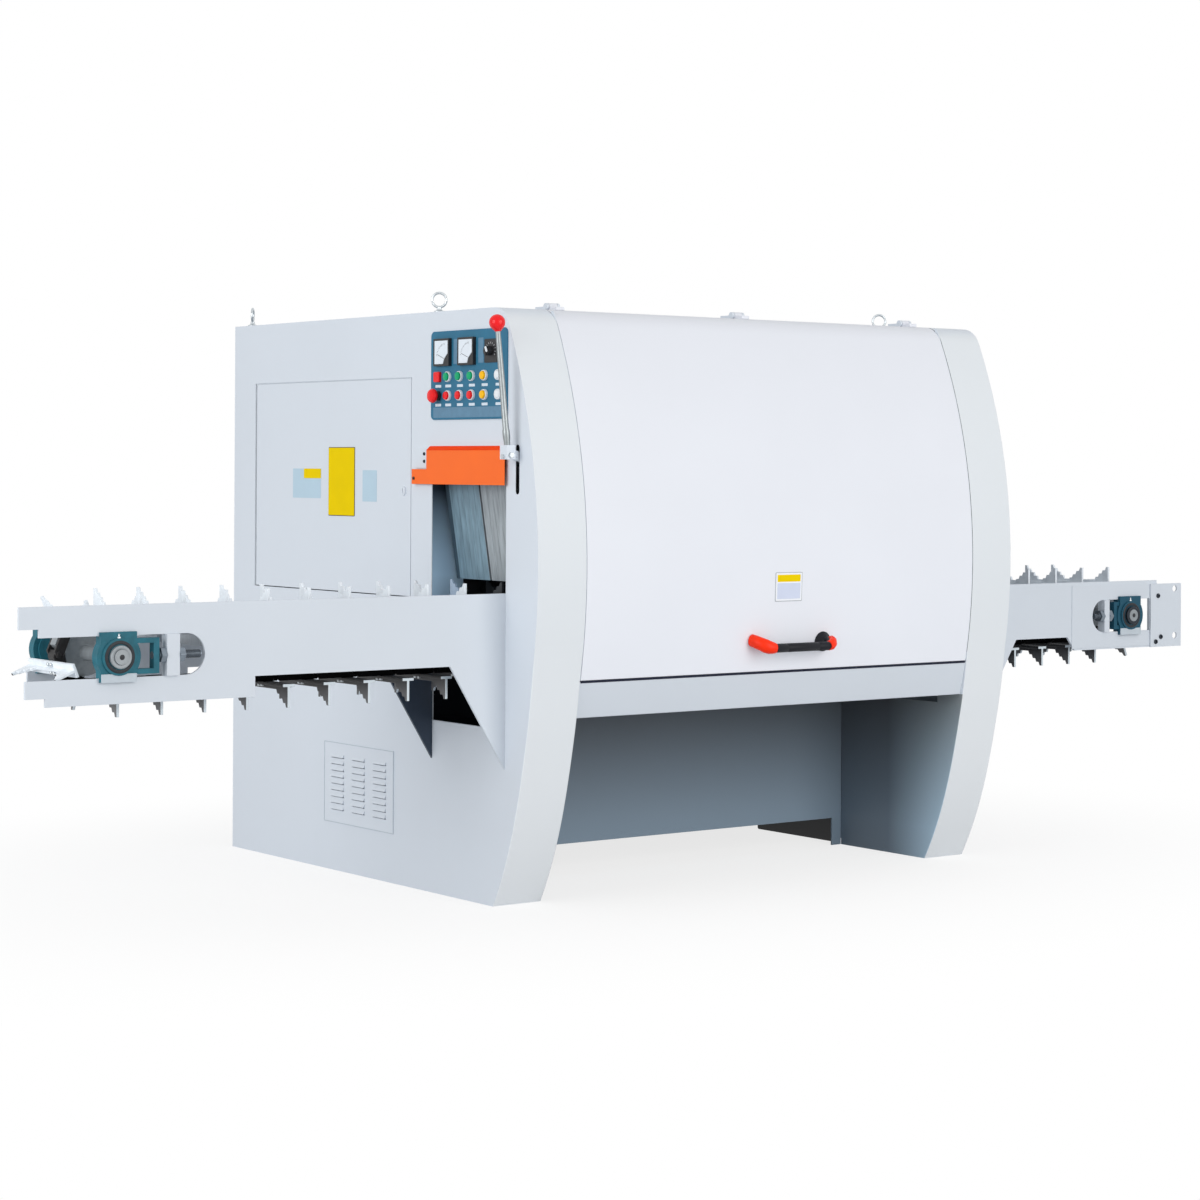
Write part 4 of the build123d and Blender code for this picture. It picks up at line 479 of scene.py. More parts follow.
steel = second_tone(steel, "carrier_in_shade", SHADE_TINT, zone=inside, mode="MULTIPLY", dull=True)
steel = second_tone(steel, "carrier_mouth_shade", MOUTH_SHADE_TINT, zone=in_mouth, mode="MULTIPLY")
carrier_steel = second_tone(steel, "carrier_near_arm_shade", ARM_SHADE_TINT, zone=near_arm, mode="MULTIPLY")
steel = finish("chain_steel", tone(34, 33, 34), 0.35, 40, (0.4, 0.65), (120, 0.25), Metallic=0.3)
# The lower run of the chain is painted darker: painted shade.
chain_steel = second_tone(steel, "chain_lower_run_shade", tone(12, 12, 13), zone=lower_run, dull=True)
print("finishes and layers in all", finish_count())

# %% [markdown]
# ## Dressing the solids
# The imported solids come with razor-sharp edges and with their faces cut into triangles. Real sheet
# metal has a small radius on every edge that catches the light. A short stack of modifiers gives it:
# weld the triangles together, dissolve the flat ones into single faces, bevel what is still sharp,
# and let the large faces decide the normals so that flats stay flat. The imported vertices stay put.

# %% Dress a solid
WELD_REACH = 0.00002
FLAT_ANGLE, SHARP_ANGLE = math.radians(0.4), math.radians(32)
EDGE_STEPS = 2


def soften(solid, radius):
    """Round the sharp edges of a solid without touching its own mesh."""
    weld = solid.modifiers.new("weld", "WELD")
    weld.merge_threshold = WELD_REACH
    flat = solid.modifiers.new("flat", "DECIMATE")
    flat.decimate_type = "DISSOLVE"
    flat.angle_limit = FLAT_ANGLE
    edge = solid.modifiers.new("edge", "BEVEL")
    edge.width = radius / 1000
    edge.segments = EDGE_STEPS
    edge.limit_method = "ANGLE"
    edge.angle_limit = SHARP_ANGLE
    edge.use_clamp_overlap = True
    normal = solid.modifiers.new("normal", "WEIGHTED_NORMAL")
    normal.keep_sharp = True


def dress(material, **radii):
    """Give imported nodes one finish, and each node the radius of its edges in millimetres."""
    for node, radius in radii.items():
        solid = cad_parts[node]
        solid.data.materials.clear()
        solid.data.materials.append(material)
        if "custom_normal" in solid.data.attributes:
            solid.data.attributes.remove(solid.data.attributes["custom_normal"])
        solid.data.shade_smooth()
        soften(solid, radius)


def dressed():
    """How many nodes have their softened edges."""
    return sum(bool(solid.modifiers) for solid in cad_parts.values())


print("edges sharper than", round(math.degrees(SHARP_ANGLE)), "degrees get a radius")

# %% [markdown]
# Folded sheet has edges of about one to four millimetres, and the thinnest pieces less. The radius
# goes with the node, so a thin sheet never gets a fat edge.

# %% Sheet metal
dress(white_paint, back_panel=1.5, top_cover=1.5, electrical_enclosure=1, electrical_door=2)
dress(white_paint, louvre_panel=0.6, hood_hinges=1, lifting_lever=2, door_lock=0.8)
dress(plate_paint, front_rail=3, infeed_near_plate=1, outfeed_near_plate=1, extension_plates=1)
dress(far_paint, infeed_far_plate=1, outfeed_far_plate=1)
dress(recess_paint, chip_recess_panel=1, base_frame=2)
dress(hood_paint, hood_door=2.5)
dress(infeed_paint, infeed_end_frame=4)
dress(outfeed_paint, outfeed_end_frame=4)
dress(chamber_paint, partition_wall=1.5)
dress(orange_enamel, feed_guard=0.8)
dress(slate_enamel, control_panel=0.8)
print("dressed", dressed(), "of", len(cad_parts))

# %% [markdown]
# Machined steel has small broken edges, and thin blades and pins hardly any.

# %% Steel solids
dress(ground_steel, chain_tracks=1, upper_arbor=1, lower_arbor=1, press_roller=1.5)
dress(ground_steel, infeed_drive_shaft=1, outfeed_drive_shaft=1)
dress(collar_steel, infeed_idler_shaft=1, outfeed_idler_shaft=1)
dress(zinc_steel, electrical_door_pins=0.3, lifting_eyes=2.5)
dress(blade_steel, upper_blades=0.3, lower_blades=0.3)
dress(screw_steel, take_up_screws=0.8)
dress(finger_steel, kickback_fingers=1.5)
dress(carrier_steel, chain_carriers=1)
dress(chain_steel, feed_chains=1.5)
print("dressed", dressed(), "of", len(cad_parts))

# %% [markdown]
# Castings have generous radii and mouldings soft ones. The colour of a button goes with what it does:
# green starts, red stops, amber raises and lowers.

# %% Castings, plastics and buttons
BUTTON_FINISH = {"start": green_gloss, "stop": red_gloss, "raise": amber_gloss, "lower": amber_gloss}
BUTTON_EDGE = 1.2


def button_finish(node):
    """Finish of a button, by the first word of its name."""
    return BUTTON_FINISH[node.split("_")[0]]


dress(motor_enamel, feed_gearmotors=3, arbor_housings=2, main_motors=3, press_arm=2)
dress(teal_enamel, conveyor_bearings=2)
dress(device_grey, switchgear=1.5)
dress(black_plastic, ammeters=1, cable_gland=1, speed_knob=0.8)
dress(pale_gloss, pilot_lamps=1.2)
dress(grip_black, handle_grip=1.5)
dress(handle_red, handle_ends=3)
dress(red_gloss, emergency_stop=0.8, lever_ball=0.5)
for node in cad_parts:
    if "_button" in node:
        dress(button_finish(node), **{node: BUTTON_EDGE})
print("dressed", dressed(), "of", len(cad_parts))

# %% [markdown]
# ## Three ways to make a small piece
# Nearly everything that is still missing can be made in one of three ways. A *plate* is a rounded
# rectangle or any other outline pushed out of a surface, with its front edge eased. A *turned* piece
# is a profile of radii and heights swung round an axis. A *swept* piece carries an oval along a path,
# and the oval may grow and shrink on the way. Each adds to a bmesh, so one piece can hold many.


# %% Plates
def rounded(width, height, corner, steps=4):
    """Outline of a rectangle with round corners, about its middle, in millimetres."""
    points = []
    for quarter, (side, up) in enumerate(((1, 1), (-1, 1), (-1, -1), (1, -1))):
        for step in range(steps + 1):
            angle = math.pi / 2 * (quarter + step / steps)
            x = side * (width / 2 - corner) + corner * math.cos(angle)
            y = up * (height / 2 - corner) + corner * math.sin(angle)
            points.append((x, y))
    return points


def ring_of(shape, pose, points, height):
    """Vertices of one outline at a height over the surface."""
    return [shape.verts.new(pose @ Vector((x / 1000, y / 1000, height / 1000))) for x, y in points]


def bridge(shape, low, high):
    """Faces between two rings of the same count."""
    count = len(low)
    for n in range(count):
        shape.faces.new((low[n], low[(n + 1) % count], high[(n + 1) % count], high[n]))


def plate(shape, pose, outline, thick, ease=0.5):
    """Push an outline out of a surface and ease its front edge."""
    middle = Vector((sum(p[0] for p in outline), sum(p[1] for p in outline))) / len(outline)
    inner = []
    for x, y in outline:
        reach = Vector((x, y)) - middle
        inner.append(tuple(middle + reach * max(0.0, 1 - ease / max(reach.length, 0.001))))
    foot = ring_of(shape, pose, outline, 0)
    rim = ring_of(shape, pose, outline, thick - ease)
    face = ring_of(shape, pose, inner, thick)
    bridge(shape, foot, rim)
    bridge(shape, rim, face)
    shape.faces.new(face)
    shape.faces.new(list(reversed(foot)))


print("a rounded outline has", len(rounded(2, 2, 0.5)), "points")

# %% [markdown]
# A turned profile may start and end on the axis, which closes the piece, or come back to its first
# point, which makes a ring. A swept path may also close on itself, as the ring of a lifting eye does.


# %% Turned and swept pieces
def circle(steps):
    """Cosine and sine of evenly spaced turns."""
    turns = [2 * math.pi * n / steps for n in range(steps)]
    return [(math.cos(turn), math.sin(turn)) for turn in turns]


def turned(shape, pose, profile, steps=28):
    """Swing a profile of (radius, height) round the z axis of a pose; radius 0 closes an end."""
    rings = []
    for radius, height in profile:
        if radius == 0:
            rings.append([shape.verts.new(pose @ Vector((0, 0, height / 1000)))])
        else:
            round_points = [(radius * c, radius * s) for c, s in circle(steps)]
            rings.append(ring_of(shape, pose, round_points, height))
    for low, high in zip(rings, rings[1:]):
        if len(low) == 1:
            for n in range(steps):
                shape.faces.new((low[0], high[(n + 1) % steps], high[n]))
        elif len(high) == 1:
            for n in range(steps):
                shape.faces.new((low[n], low[(n + 1) % steps], high[0]))
        else:
            bridge(shape, low, high)


def swept(shape, stations, steps=24, closed=False):
    """Carry an oval along stations of (point, half width, half height); a closed path meets itself."""
    rings = []
    count = len(stations)
    for n, (point, wide, tall) in enumerate(stations):
        before = stations[n - 1] if n or closed else stations[n]
        after = stations[(n + 1) % count] if n < count - 1 or closed else stations[n]
        along = (after[0] - before[0]).normalized()
        side = along.cross(upward(along, 0.95)).normalized()
        up = side.cross(along)
        offsets = [side * (wide * c) + up * (tall * s) for c, s in circle(steps)]
        rings.append([shape.verts.new(point + offset / 1000) for offset in offsets])
    for low, high in zip(rings, rings[1:] + rings[:1] if closed else rings[1:]):
        bridge(shape, low, high)
    if not closed:
        shape.faces.new(rings[0])
        shape.faces.new(list(reversed(rings[-1])))


print("a quarter turn of a circle in four steps is", [round(v, 3) for v in circle(4)[1]])

# %% [markdown]
# When its shape is ready, a piece becomes an object of the scene. It rides on one of the bodies of the
# machine, so it moves when that body moves, and it names the slot of its material.


# %% From shape to piece
def piece(name, shape, material, body="machine", slot=None, angle=35):
    """Turn a bmesh into a piece that rides on a body."""
    bmesh.ops.recalc_face_normals(shape, faces=shape.faces)
    mesh = bpy.data.meshes.new(name)
    shape.to_mesh(mesh)
    shape.free()
    mesh.materials.append(material)
    mesh.shade_smooth()
    mesh.set_sharp_from_angle(angle=math.radians(angle))
    made = bpy.data.objects.new(name, mesh)
    scene.collection.objects.link(made)
    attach(made, body)
    if slot:
        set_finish(made, slot)
    return made


# %% [markdown]
# ## The operator's panel
# The slate panel carries two ammeters, a dial, lamps and buttons. Each meter is a dark case with a
# pale face whose lower corner is taken up by the movement, so the face is a six-cornered plate. Fine
# ticks sit on an arc round the pivot, and the needle rests at zero. A picture of a scale would blur
# close up, while thin plates stay sharp.

# %% Ammeter faces
METER_PLACES = ((259, 1579), (134, 1579))
METER_FLOOR = -14
FACE_OUTLINE = [(34, 34), (-34, 34), (-34, -34), (10, -34), (15, -20), (34, -3)]
FACE_THICK = 1.2
PIVOT_IN = 20
SCALE_TICKS, SCALE_START, SCALE_STEP, SCALE_RADIUS = 13, 94, 6, 44
LONG_TICK, SHORT_TICK = rounded(6, 0.9, 0.3, 1), rounded(3.5, 0.9, 0.3, 1)
NEEDLE, NEEDLE_ANGLE, NEEDLE_MIDDLE = rounded(36, 1.1, 0.4, 1), 160, 24


def spoke(pose, degrees, reach):
    """A pose turned round its own z axis and moved out along its turned x axis."""
    turn = Matrix.Rotation(math.radians(degrees), 4, "Z")
    return pose @ turn @ Matrix.Translation((reach / 1000, 0, 0))


faces = bmesh.new()
marks = bmesh.new()
for meter_y, meter_z in METER_PLACES:
    plate(faces, seat(METER_FLOOR, meter_y, meter_z, OUT_LEFT), FACE_OUTLINE, FACE_THICK)
    pivot = seat(METER_FLOOR - FACE_THICK, meter_y - PIVOT_IN, meter_z - PIVOT_IN, OUT_LEFT)
    for tick in range(SCALE_TICKS):
        mark = SHORT_TICK if tick % 3 else LONG_TICK
        plate(marks, spoke(pivot, SCALE_START + SCALE_STEP * tick, SCALE_RADIUS), mark, 0.3, 0.1)
    plate(marks, spoke(pivot, NEEDLE_ANGLE, NEEDLE_MIDDLE), NEEDLE, 0.6, 0.2)
piece("meter_faces", faces, dial_white, slot="meter_plastic")
piece("meter_marks", marks, black_plastic, slot="black_plastic")
print("meters", len(METER_PLACES), "with", SCALE_TICKS, "ticks each")

# %% [markdown]
# Every button sits in a pale bezel. The bezel stays with the panel, the cap moves with its own body,
# and there is a hair of room between the two. Both are turned, because a bezel is a ring with a
# rounded lip and a cap is slightly domed, and the light shows both.

# %% Bezels and caps
PANEL_FACE = -4
UPPER_ROW, LOWER_ROW = 1508, 1453
COLUMNS = {"lamp": 288, "one": 236, "two": 175, "three": 114, "four": 49, "five": -21}
BEZEL = [(12.4, 0), (15.6, 0), (15.6, 4), (14.6, 7), (12.9, 7.4), (12.4, 6.5), (12.4, 0)]
CAP = [(0, 0.5), (11.6, 0.5), (11.9, 8.4), (11.2, 9.6), (9, 10.2), (0, 10.4)]
CAP_LIFT = 2.6
BUTTON_SPOTS = {}
for first, last, row in (("start", "raise", UPPER_ROW), ("stop", "lower", LOWER_ROW)):
    for column in ("one", "two", "three"):
        BUTTON_SPOTS[first + "_button_" + column] = (column, row)
    BUTTON_SPOTS[last + "_button"] = ("four", row)


def on_panel(column_y, row_z, lift=0):
    """Pose of a piece on the face of the panel, or lifted off it."""
    return seat(PANEL_FACE - lift, column_y, row_z, OUT_LEFT)


bezels = bmesh.new()
for node, (column, row) in BUTTON_SPOTS.items():
    turned(bezels, on_panel(COLUMNS[column], row), BEZEL)
    cap = bmesh.new()
    turned(cap, on_panel(COLUMNS[column], row, CAP_LIFT), CAP)
    cap_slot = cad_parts[node].get("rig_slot")
    made = piece(node + "_cap", cap, button_finish(node), node, cap_slot)
    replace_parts(made, node)
for row in (UPPER_ROW, LOWER_ROW):
    turned(bezels, on_panel(COLUMNS["five"], row), BEZEL)
piece("button_bezels", bezels, pale_gloss, slot="lamp_plastic")
print("buttons", len(BUTTON_SPOTS))

# %% [markdown]
# Under each button and lamp sits a small blank chip. Longer strips run along the lower edge and stand
# beside the meters. All are thin plates with eased edges.

# %% Legend chips and strips
CHIP, CHIP_DROP = rounded(30, 8, 1.2, 2), 27
LONG_STRIP, SHORT_STRIP = rounded(362, 30, 1.5, 2), rounded(26, 72, 1.5, 2)
LEGEND_THICK, LEGEND_EASE = 0.6, 0.2
chips = bmesh.new()
for column_y in COLUMNS.values():
    for row in (UPPER_ROW, LOWER_ROW):
        plate(chips, on_panel(column_y, row - CHIP_DROP), CHIP, LEGEND_THICK, LEGEND_EASE)
piece("legend_chips", chips, chip_white, slot="lamp_plastic")
strips = bmesh.new()
plate(strips, on_panel(133, 1404), LONG_STRIP, LEGEND_THICK, LEGEND_EASE)
for strip_y in (196, 69):
    plate(strips, on_panel(strip_y, 1580), SHORT_STRIP, LEGEND_THICK, LEGEND_EASE)
piece("legend_strips", strips, slate_pale, slot="panel_slate")
print("chips", 2 * len(COLUMNS), "and strips 3")

# %% [markdown]
# The square lamp is red and the two round ones are pale, and none is lit. A square lens is a thick
# plate with a wide eased edge, a round one a turned dome.

# %% Lamps
SQUARE_LENS = rounded(30, 30, 3)
ROUND_LENS = [(12.2, 0), (12.2, 6.5), (10.5, 9), (6, 10.6), (0, 11)]
lenses = bmesh.new()
plate(lenses, on_panel(COLUMNS["lamp"], UPPER_ROW), SQUARE_LENS, 9, 2)
red_lens = piece("red_lamp", lenses, red_gloss, slot="red_plastic")
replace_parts(red_lens, "pilot_lamps")
lenses = bmesh.new()
for row in (UPPER_ROW, LOWER_ROW):
    turned(lenses, on_panel(COLUMNS["five"], row), ROUND_LENS)
piece("pale_lamps", lenses, pale_gloss, slot="lamp_plastic")
print("lamps 3")

# %% [markdown]
# The speed knob turns on a black dial plate with pale ticks. The plate and the ticks stay, while the
# pointer on the cap of the knob rides on the knob's own body.

# %% Speed dial
DIAL_Y, DIAL_Z, DIAL_THICK = 18, 1577, 2
DIAL_TICKS, DIAL_START, DIAL_STEP, DIAL_RADIUS = 11, -30, 24, 23
KNOB_TOP, KNOB_TURN, POINTER_OUT = 21.8, 28, 8
dial = bmesh.new()
plate(dial, on_panel(DIAL_Y, DIAL_Z), rounded(64, 68, 3), DIAL_THICK, 0.5)
piece("speed_dial_plate", dial, black_plastic, slot="black_plastic")
ticks = bmesh.new()
dial_pose = on_panel(DIAL_Y, DIAL_Z, DIAL_THICK)
for tick in range(DIAL_TICKS):
    tick_pose = spoke(dial_pose, DIAL_START + DIAL_STEP * tick, DIAL_RADIUS)
    plate(ticks, tick_pose, rounded(5, 1.1, 0.4, 1), 0.3, 0.1)
piece("speed_dial_ticks", ticks, pale_gloss, slot="lamp_plastic")
pointer = bmesh.new()
pointer_pose = spoke(on_panel(DIAL_Y, DIAL_Z, KNOB_TOP), KNOB_TURN, POINTER_OUT)
plate(pointer, pointer_pose, rounded(7, 18, 3), 2, 0.6)
piece("speed_pointer", pointer, pale_gloss, "speed_knob", "lamp_plastic")
print("dial ticks", DIAL_TICKS)

# %% [markdown]
# The emergency stop is a red mushroom that a flat hand can hit. Its stem ends well above the panel,
# inside a fixed black ring, so that the head has room for its travel.

# %% Emergency stop
NECK_RING = [(9.6, 0), (14, 0), (14, 7), (13, 8), (9.6, 8), (9.6, 0)]
HEAD = [(0, 6.5), (9, 6.5), (9, 15), (19.5, 16), (21, 19), (20.4, 24), (17, 29), (10, 31.6), (0, 32)]
stop_pose = on_panel(COLUMNS["lamp"], LOWER_ROW)
neck_ring = bmesh.new()
turned(neck_ring, stop_pose, NECK_RING)
piece("stop_neck_ring", neck_ring, black_plastic, slot="black_plastic")
mushroom = bmesh.new()
turned(mushroom, stop_pose, HEAD, 36)
mushroom_head = piece("mushroom_head", mushroom, red_gloss, "emergency_stop", "red_plastic")
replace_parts(mushroom_head, "emergency_stop")
print("mushroom", 2 * max(radius for radius, height in HEAD), "mm across")

# %% [markdown]
# ## The lever that lifts the fingers
# It is a plain steel rod that screws into a white clamp, with a red ball on top. The rod is swept, as
# it tapers and has a collar near its foot. The ball is turned, with a neck that swallows the rod.

# %% Lever rod and ball
LEVER_Y = -110
BALL_RADIUS, BALL_RISE = 23, 20
lever_foot, lever_top = at(-34, LEVER_Y, 1288), at(-70, LEVER_Y, 1630)
lever_way = (lever_top - lever_foot).normalized()
reach = (lever_top - lever_foot).length
FOOT_STATIONS = ((0, 9), (0.03, 9), (0.045, 10.5), (0.06, 10.5), (0.066, 9))
TAPER_STATIONS = ((0.2, 8.6), (reach - 0.03, 7.4), (reach, 7))
rod = bmesh.new()
stations = FOOT_STATIONS + TAPER_STATIONS
swept(rod, [(lever_foot + lever_way * along, radius, radius) for along, radius in stations], 20)
piece("lever_rod", rod, rod_steel, "kickback_lever", "machined_steel")
ball = bmesh.new()
ball_pose = Matrix.Translation(lever_top) @ lever_way.to_track_quat("Z", "Y").to_matrix().to_4x4()
ball_profile = [(0, -5), (9, -5), (10, -2), (13, 0)]
for degrees in range(-50, 90, 10):
    turn = math.radians(degrees)
    ball_profile.append((BALL_RADIUS * math.cos(turn), BALL_RISE + BALL_RADIUS * math.sin(turn)))
turned(ball, ball_pose, ball_profile + [(0, BALL_RISE + BALL_RADIUS)], 32)
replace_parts(piece("lever_knob", ball, red_gloss, "kickback_lever", "red_plastic"), "lever_ball")
print("lever", round(reach * 1000), "mm long")

# %% [markdown]
# Two screws clamp the rod, one from the front and one from the left. A hexagon is a turned piece with
# six sides.

# %% Clamp screws
front_screw, left_screw = seat(-34, LEVER_Y - 17, 1280, OUT_FRONT), seat(-49, LEVER_Y, 1276, OUT_LEFT)
clamp_screws = bmesh.new()
for pose, radius, height in ((front_screw, 9, 6), (left_screw, 7, 5)):
    hexagon = [(0, 0), (radius, 0), (radius, height - 1), (radius - 1, height), (0, height)]
    turned(clamp_screws, pose, hexagon, 6)
piece("lever_clamp_screws", clamp_screws, zinc_steel, "kickback_lever", "machined_steel")
print("clamp screws 2")

# %% [markdown]
# ## Guard and door plates
# A folded lip runs along the top of the orange guard over the mouth. It leans up towards the light, so
# its orange is a darker and duller copy, painted shade that keeps it from washing out. A small white
# bracket and three screws hold the guard.

# %% Guard lip, bracket and screws
LIP_OUT = (-12, 0, 14)
SCREW_PLACES = ((-3, 362, 1284), (-3, 362, 1262), (-14, 402, 1212))


def screw_head(shape, pose, radius, height):
    """A low round screw head with a drive recess."""
    hole, floor = radius * 0.45, height * 0.3
    head = [(0, 0), (radius, 0), (radius, height * 0.6), (radius * 0.8, height)]
    recess = [(hole, height), (hole * 0.8, floor), (0, floor)]
    turned(shape, pose, head + recess, 16)


lip = bmesh.new()
plate(lip, seat(-7.5, 136, 1300.3, LIP_OUT), rounded(399, 18, 1, 2), 0.8, 0.3)
piece("guard_lip", lip, orange_painted_shade, slot="guard_orange")
bracket = bmesh.new()
plate(bracket, seat(0, 376, 1271, OUT_LEFT), rounded(70, 60, 3), 3, 0.6)
piece("guard_bracket", bracket, white_paint, slot="body_paint")
screws = bmesh.new()
for place in SCREW_PLACES:
    screw_head(screws, seat(*place, OUT_LEFT), 5, 3)
piece("guard_screws", screws, dark_bolt, slot="machined_steel")
print("guard lip, bracket and screws", len(SCREW_PLACES))

# %% [markdown]
# The electrical door carries a yellow plate with a thin dark edge, a yellow strip and two blank
# labels. The dark edge is a slightly larger plate under the yellow one. All swing with the door.

# %% Door plates
PLATE_Y, PLATE_Z = 830, 1199
PLATE_WIDE, PLATE_TALL, PLATE_EDGE = 150, 208, 2
plate_pose = seat(0, PLATE_Y, PLATE_Z, OUT_LEFT)
yellow = bmesh.new()
plate(yellow, plate_pose, rounded(PLATE_WIDE, PLATE_TALL, 3), 2, 0.8)
plate(yellow, seat(0, 1004, 1223, OUT_LEFT), rounded(102, 30, 2), 1.6, 0.3)
piece("door_yellow_plates", yellow, yellow_enamel, "electrical_door", "yellow_plastic")
edge = bmesh.new()
plate(edge, plate_pose, rounded(PLATE_WIDE + 2 * PLATE_EDGE, PLATE_TALL + 2 * PLATE_EDGE, 4), 1, 0.3)
piece("door_plate_edge", edge, black_plastic, "electrical_door", "black_plastic")
labels = bmesh.new()
plate(labels, seat(0, 1038, 1192, OUT_LEFT), rounded(170, 92, 2), 0.8, 0.2)
plate(labels, seat(0, 668, 1187, OUT_LEFT), rounded(80, 95, 2), 0.8, 0.2)
piece("door_labels", labels, label_blue, "electrical_door", "panel_slate")
print("door plates 2 and labels 2")

# %% [markdown]
# ## Seals and trim
# Doors on sheet metal close against a lip, so their gaps never show as black lines. Two pale lips
# follow the bow on either side of the hood, and the electrical door has a lip on top and at its free
# edge. The bow is an arc of a circle, so a formula gives its front at any height.

# %% Gap lips
BOW_RADIUS, BOW_Y, BOW_Z = 1700, 1488, 960
LIP_THICK, DOOR_LIP_THICK, LIP_EASE = 2.2, 4.5, 0.2


def hood_front(z):
    """Drawing y of the bowed hood skin at a height."""
    return BOW_Y - math.sqrt(BOW_RADIUS**2 - (z - BOW_Z) ** 2)


def bow_strip(low, high, outer, inner, steps=24):
    """Outline of a strip behind the bowed skin, in drawing y and z."""
    heights = [low + (high - low) * n / steps for n in range(steps + 1)]
    front = [(hood_front(z) + outer, z) for z in heights]
    return front + [(hood_front(z) + inner, z) for z in reversed(heights)]


def box_outline(low_y, low_z, high_y, high_z):
    """Outline of a rectangle in drawing y and z."""
    return [(low_y, low_z), (high_y, low_z), (high_y, high_z), (low_y, high_z)]


hood_lip = bow_strip(648, 1694, 1.5, 12)
door_lips = (box_outline(437.2, 861, 439.2, 1510), box_outline(442, 1508.6, 1360, 1510.7))
lips = bmesh.new()
for lip_x in (167.3, 1675.5):
    plate(lips, seat(lip_x, 0, 0, OUT_RIGHT), hood_lip, LIP_THICK, LIP_EASE)
for outline in door_lips:
    plate(lips, seat(1.5, 0, 0, OUT_RIGHT), outline, DOOR_LIP_THICK, LIP_EASE)
piece("gap_lips", lips, seal_pale, slot="body_paint")
print("gap lips", 2 + len(door_lips))

# %% [markdown]
# A dark rubber strip closes the hood at the bottom. Its navy is partly the rubber and partly painted
# shade of the gap under the hood. It is a flat plate that looks out square to the bow at its height.

# %% Hood seal
SEAL_Z, SEAL_LONG, SEAL_TALL = 641, 1504, 6.5
seal_y = hood_front(SEAL_Z)
seal_out = (0, seal_y - BOW_Y, SEAL_Z - BOW_Z)
rubber = bmesh.new()
seal_pose = seat(BODY_LENGTH / 2, seal_y + 0.2, SEAL_Z, seal_out)
plate(rubber, seal_pose, rounded(SEAL_LONG, SEAL_TALL, 1, 2), 1.2, 0.4)
piece("hood_bottom_seal", rubber, navy_seal_and_shade, slot="black_plastic")
print("seal", SEAL_LONG, "mm long")

# %% [markdown]
# A thin grey line runs round the louvred panel where it meets the cabinet: four narrow plates, whose
# grey is painted shade along the panel's edge.

# %% Louvre edge shade
VENT_FACE, EDGE_LINE = -2, 2.4
low_y, low_z, high_y, high_z = 523, 147, 920, 395
EDGE_LINE_RUNS = (
    (low_y, low_z, high_y, low_z + EDGE_LINE),
    (low_y, high_z - EDGE_LINE, high_y, high_z),
    (low_y, low_z + EDGE_LINE, low_y + EDGE_LINE, high_z - EDGE_LINE),
    (high_y - EDGE_LINE, low_z + EDGE_LINE, high_y, high_z - EDGE_LINE),
)
# Grey strips round the louvred panel: painted shade of its edge.
edge_shade = bmesh.new()
for y0, z0, y1, z1 in EDGE_LINE_RUNS:
    middle = seat(VENT_FACE, (y0 + y1) / 2, (z0 + z1) / 2, OUT_LEFT)
    plate(edge_shade, middle, rounded(y1 - y0, z1 - z0, 0.8, 2), 1, 0.4)
piece("louvre_edge_shade", edge_shade, pale_line_grey, slot="body_paint")
print("bead round", high_y - low_y, "by", high_z - low_z, "mm")

# %% [markdown]
# ## Leg facings
# Under the hood the posts do not run straight to the floor. A formed sheet gives each leg a soft belly
# that fades out above the rail. Its side outline is the front line of the post, pushed out by a cubic
# that starts at the floor and leaves the post without a kink, so the light runs over it unbroken.

# %% Leg facings
KNEE_Z, POST_WIDTH = 487, 167
FACING_FOOT, FACING_TOP, FACING_STEPS = 0.5, 750, 30
FACING_LAP, FACING_DEPTH, FACING_EDGE = 0.3, 9, 4
BELLY = 30
RIGHT_LEG = BODY_LENGTH - POST_WIDTH
FACINGS = {"infeed_leg_facing": (0, infeed_facing), "outfeed_leg_facing": (RIGHT_LEG, outfeed_facing)}


def post_front(z):
    """Drawing y of the front of a post: the bow, and below the knee a straight run to the foot line."""
    return hood_front(max(z, KNEE_Z)) * min(1, z / KNEE_Z)


def belly(z):
    """How far a facing stands out of its post at a height; the fraction makes its peak one belly."""
    rise = z / FACING_TOP
    return BELLY * 27 / 4 * rise * (1 - rise) ** 2


facing_rise = FACING_TOP - FACING_FOOT
heights = [FACING_FOOT + facing_rise * n / FACING_STEPS for n in range(FACING_STEPS + 1)]
facing_outline = [(post_front(z) - belly(z), z) for z in heights]
facing_outline += [(post_front(z) + FACING_DEPTH, z) for z in reversed(heights)]
for name, (low_x, leg_paint) in FACINGS.items():
    facing = bmesh.new()
    facing_pose = seat(low_x - FACING_LAP, 0, 0, OUT_RIGHT)
    plate(facing, facing_pose, facing_outline, POST_WIDTH + 2 * FACING_LAP, 0)
    soften(piece(name, facing, leg_paint, slot="body_paint", angle=180), FACING_EDGE)
print("leg facings", len(FACINGS), "stand out", BELLY, "mm")

# %% [markdown]
# The panel at the back of the recess stops short of the floor. Through the gap the sheet that carries
# the inner side of the right leg on to the back can be seen, in deep shade, which is painted: the
# sheet is painted near black.

# %% Sheet behind the recess
SHEET_LONG, SHEET_TALL, SHEET_THICK = 415, 196, 3
SHEET_Y, SHEET_Z, SHEET_INSET = 622, 102, 4
sheet = bmesh.new()
sheet_pose = seat(RIGHT_LEG + SHEET_INSET, SHEET_Y, SHEET_Z, OUT_LEFT)
plate(sheet, sheet_pose, rounded(SHEET_LONG, SHEET_TALL, 6), SHEET_THICK, 0.5)
piece("recess_side_sheet", sheet, shade_paint, slot="body_paint")
print("sheet", SHEET_LONG, "by", SHEET_TALL, "mm")

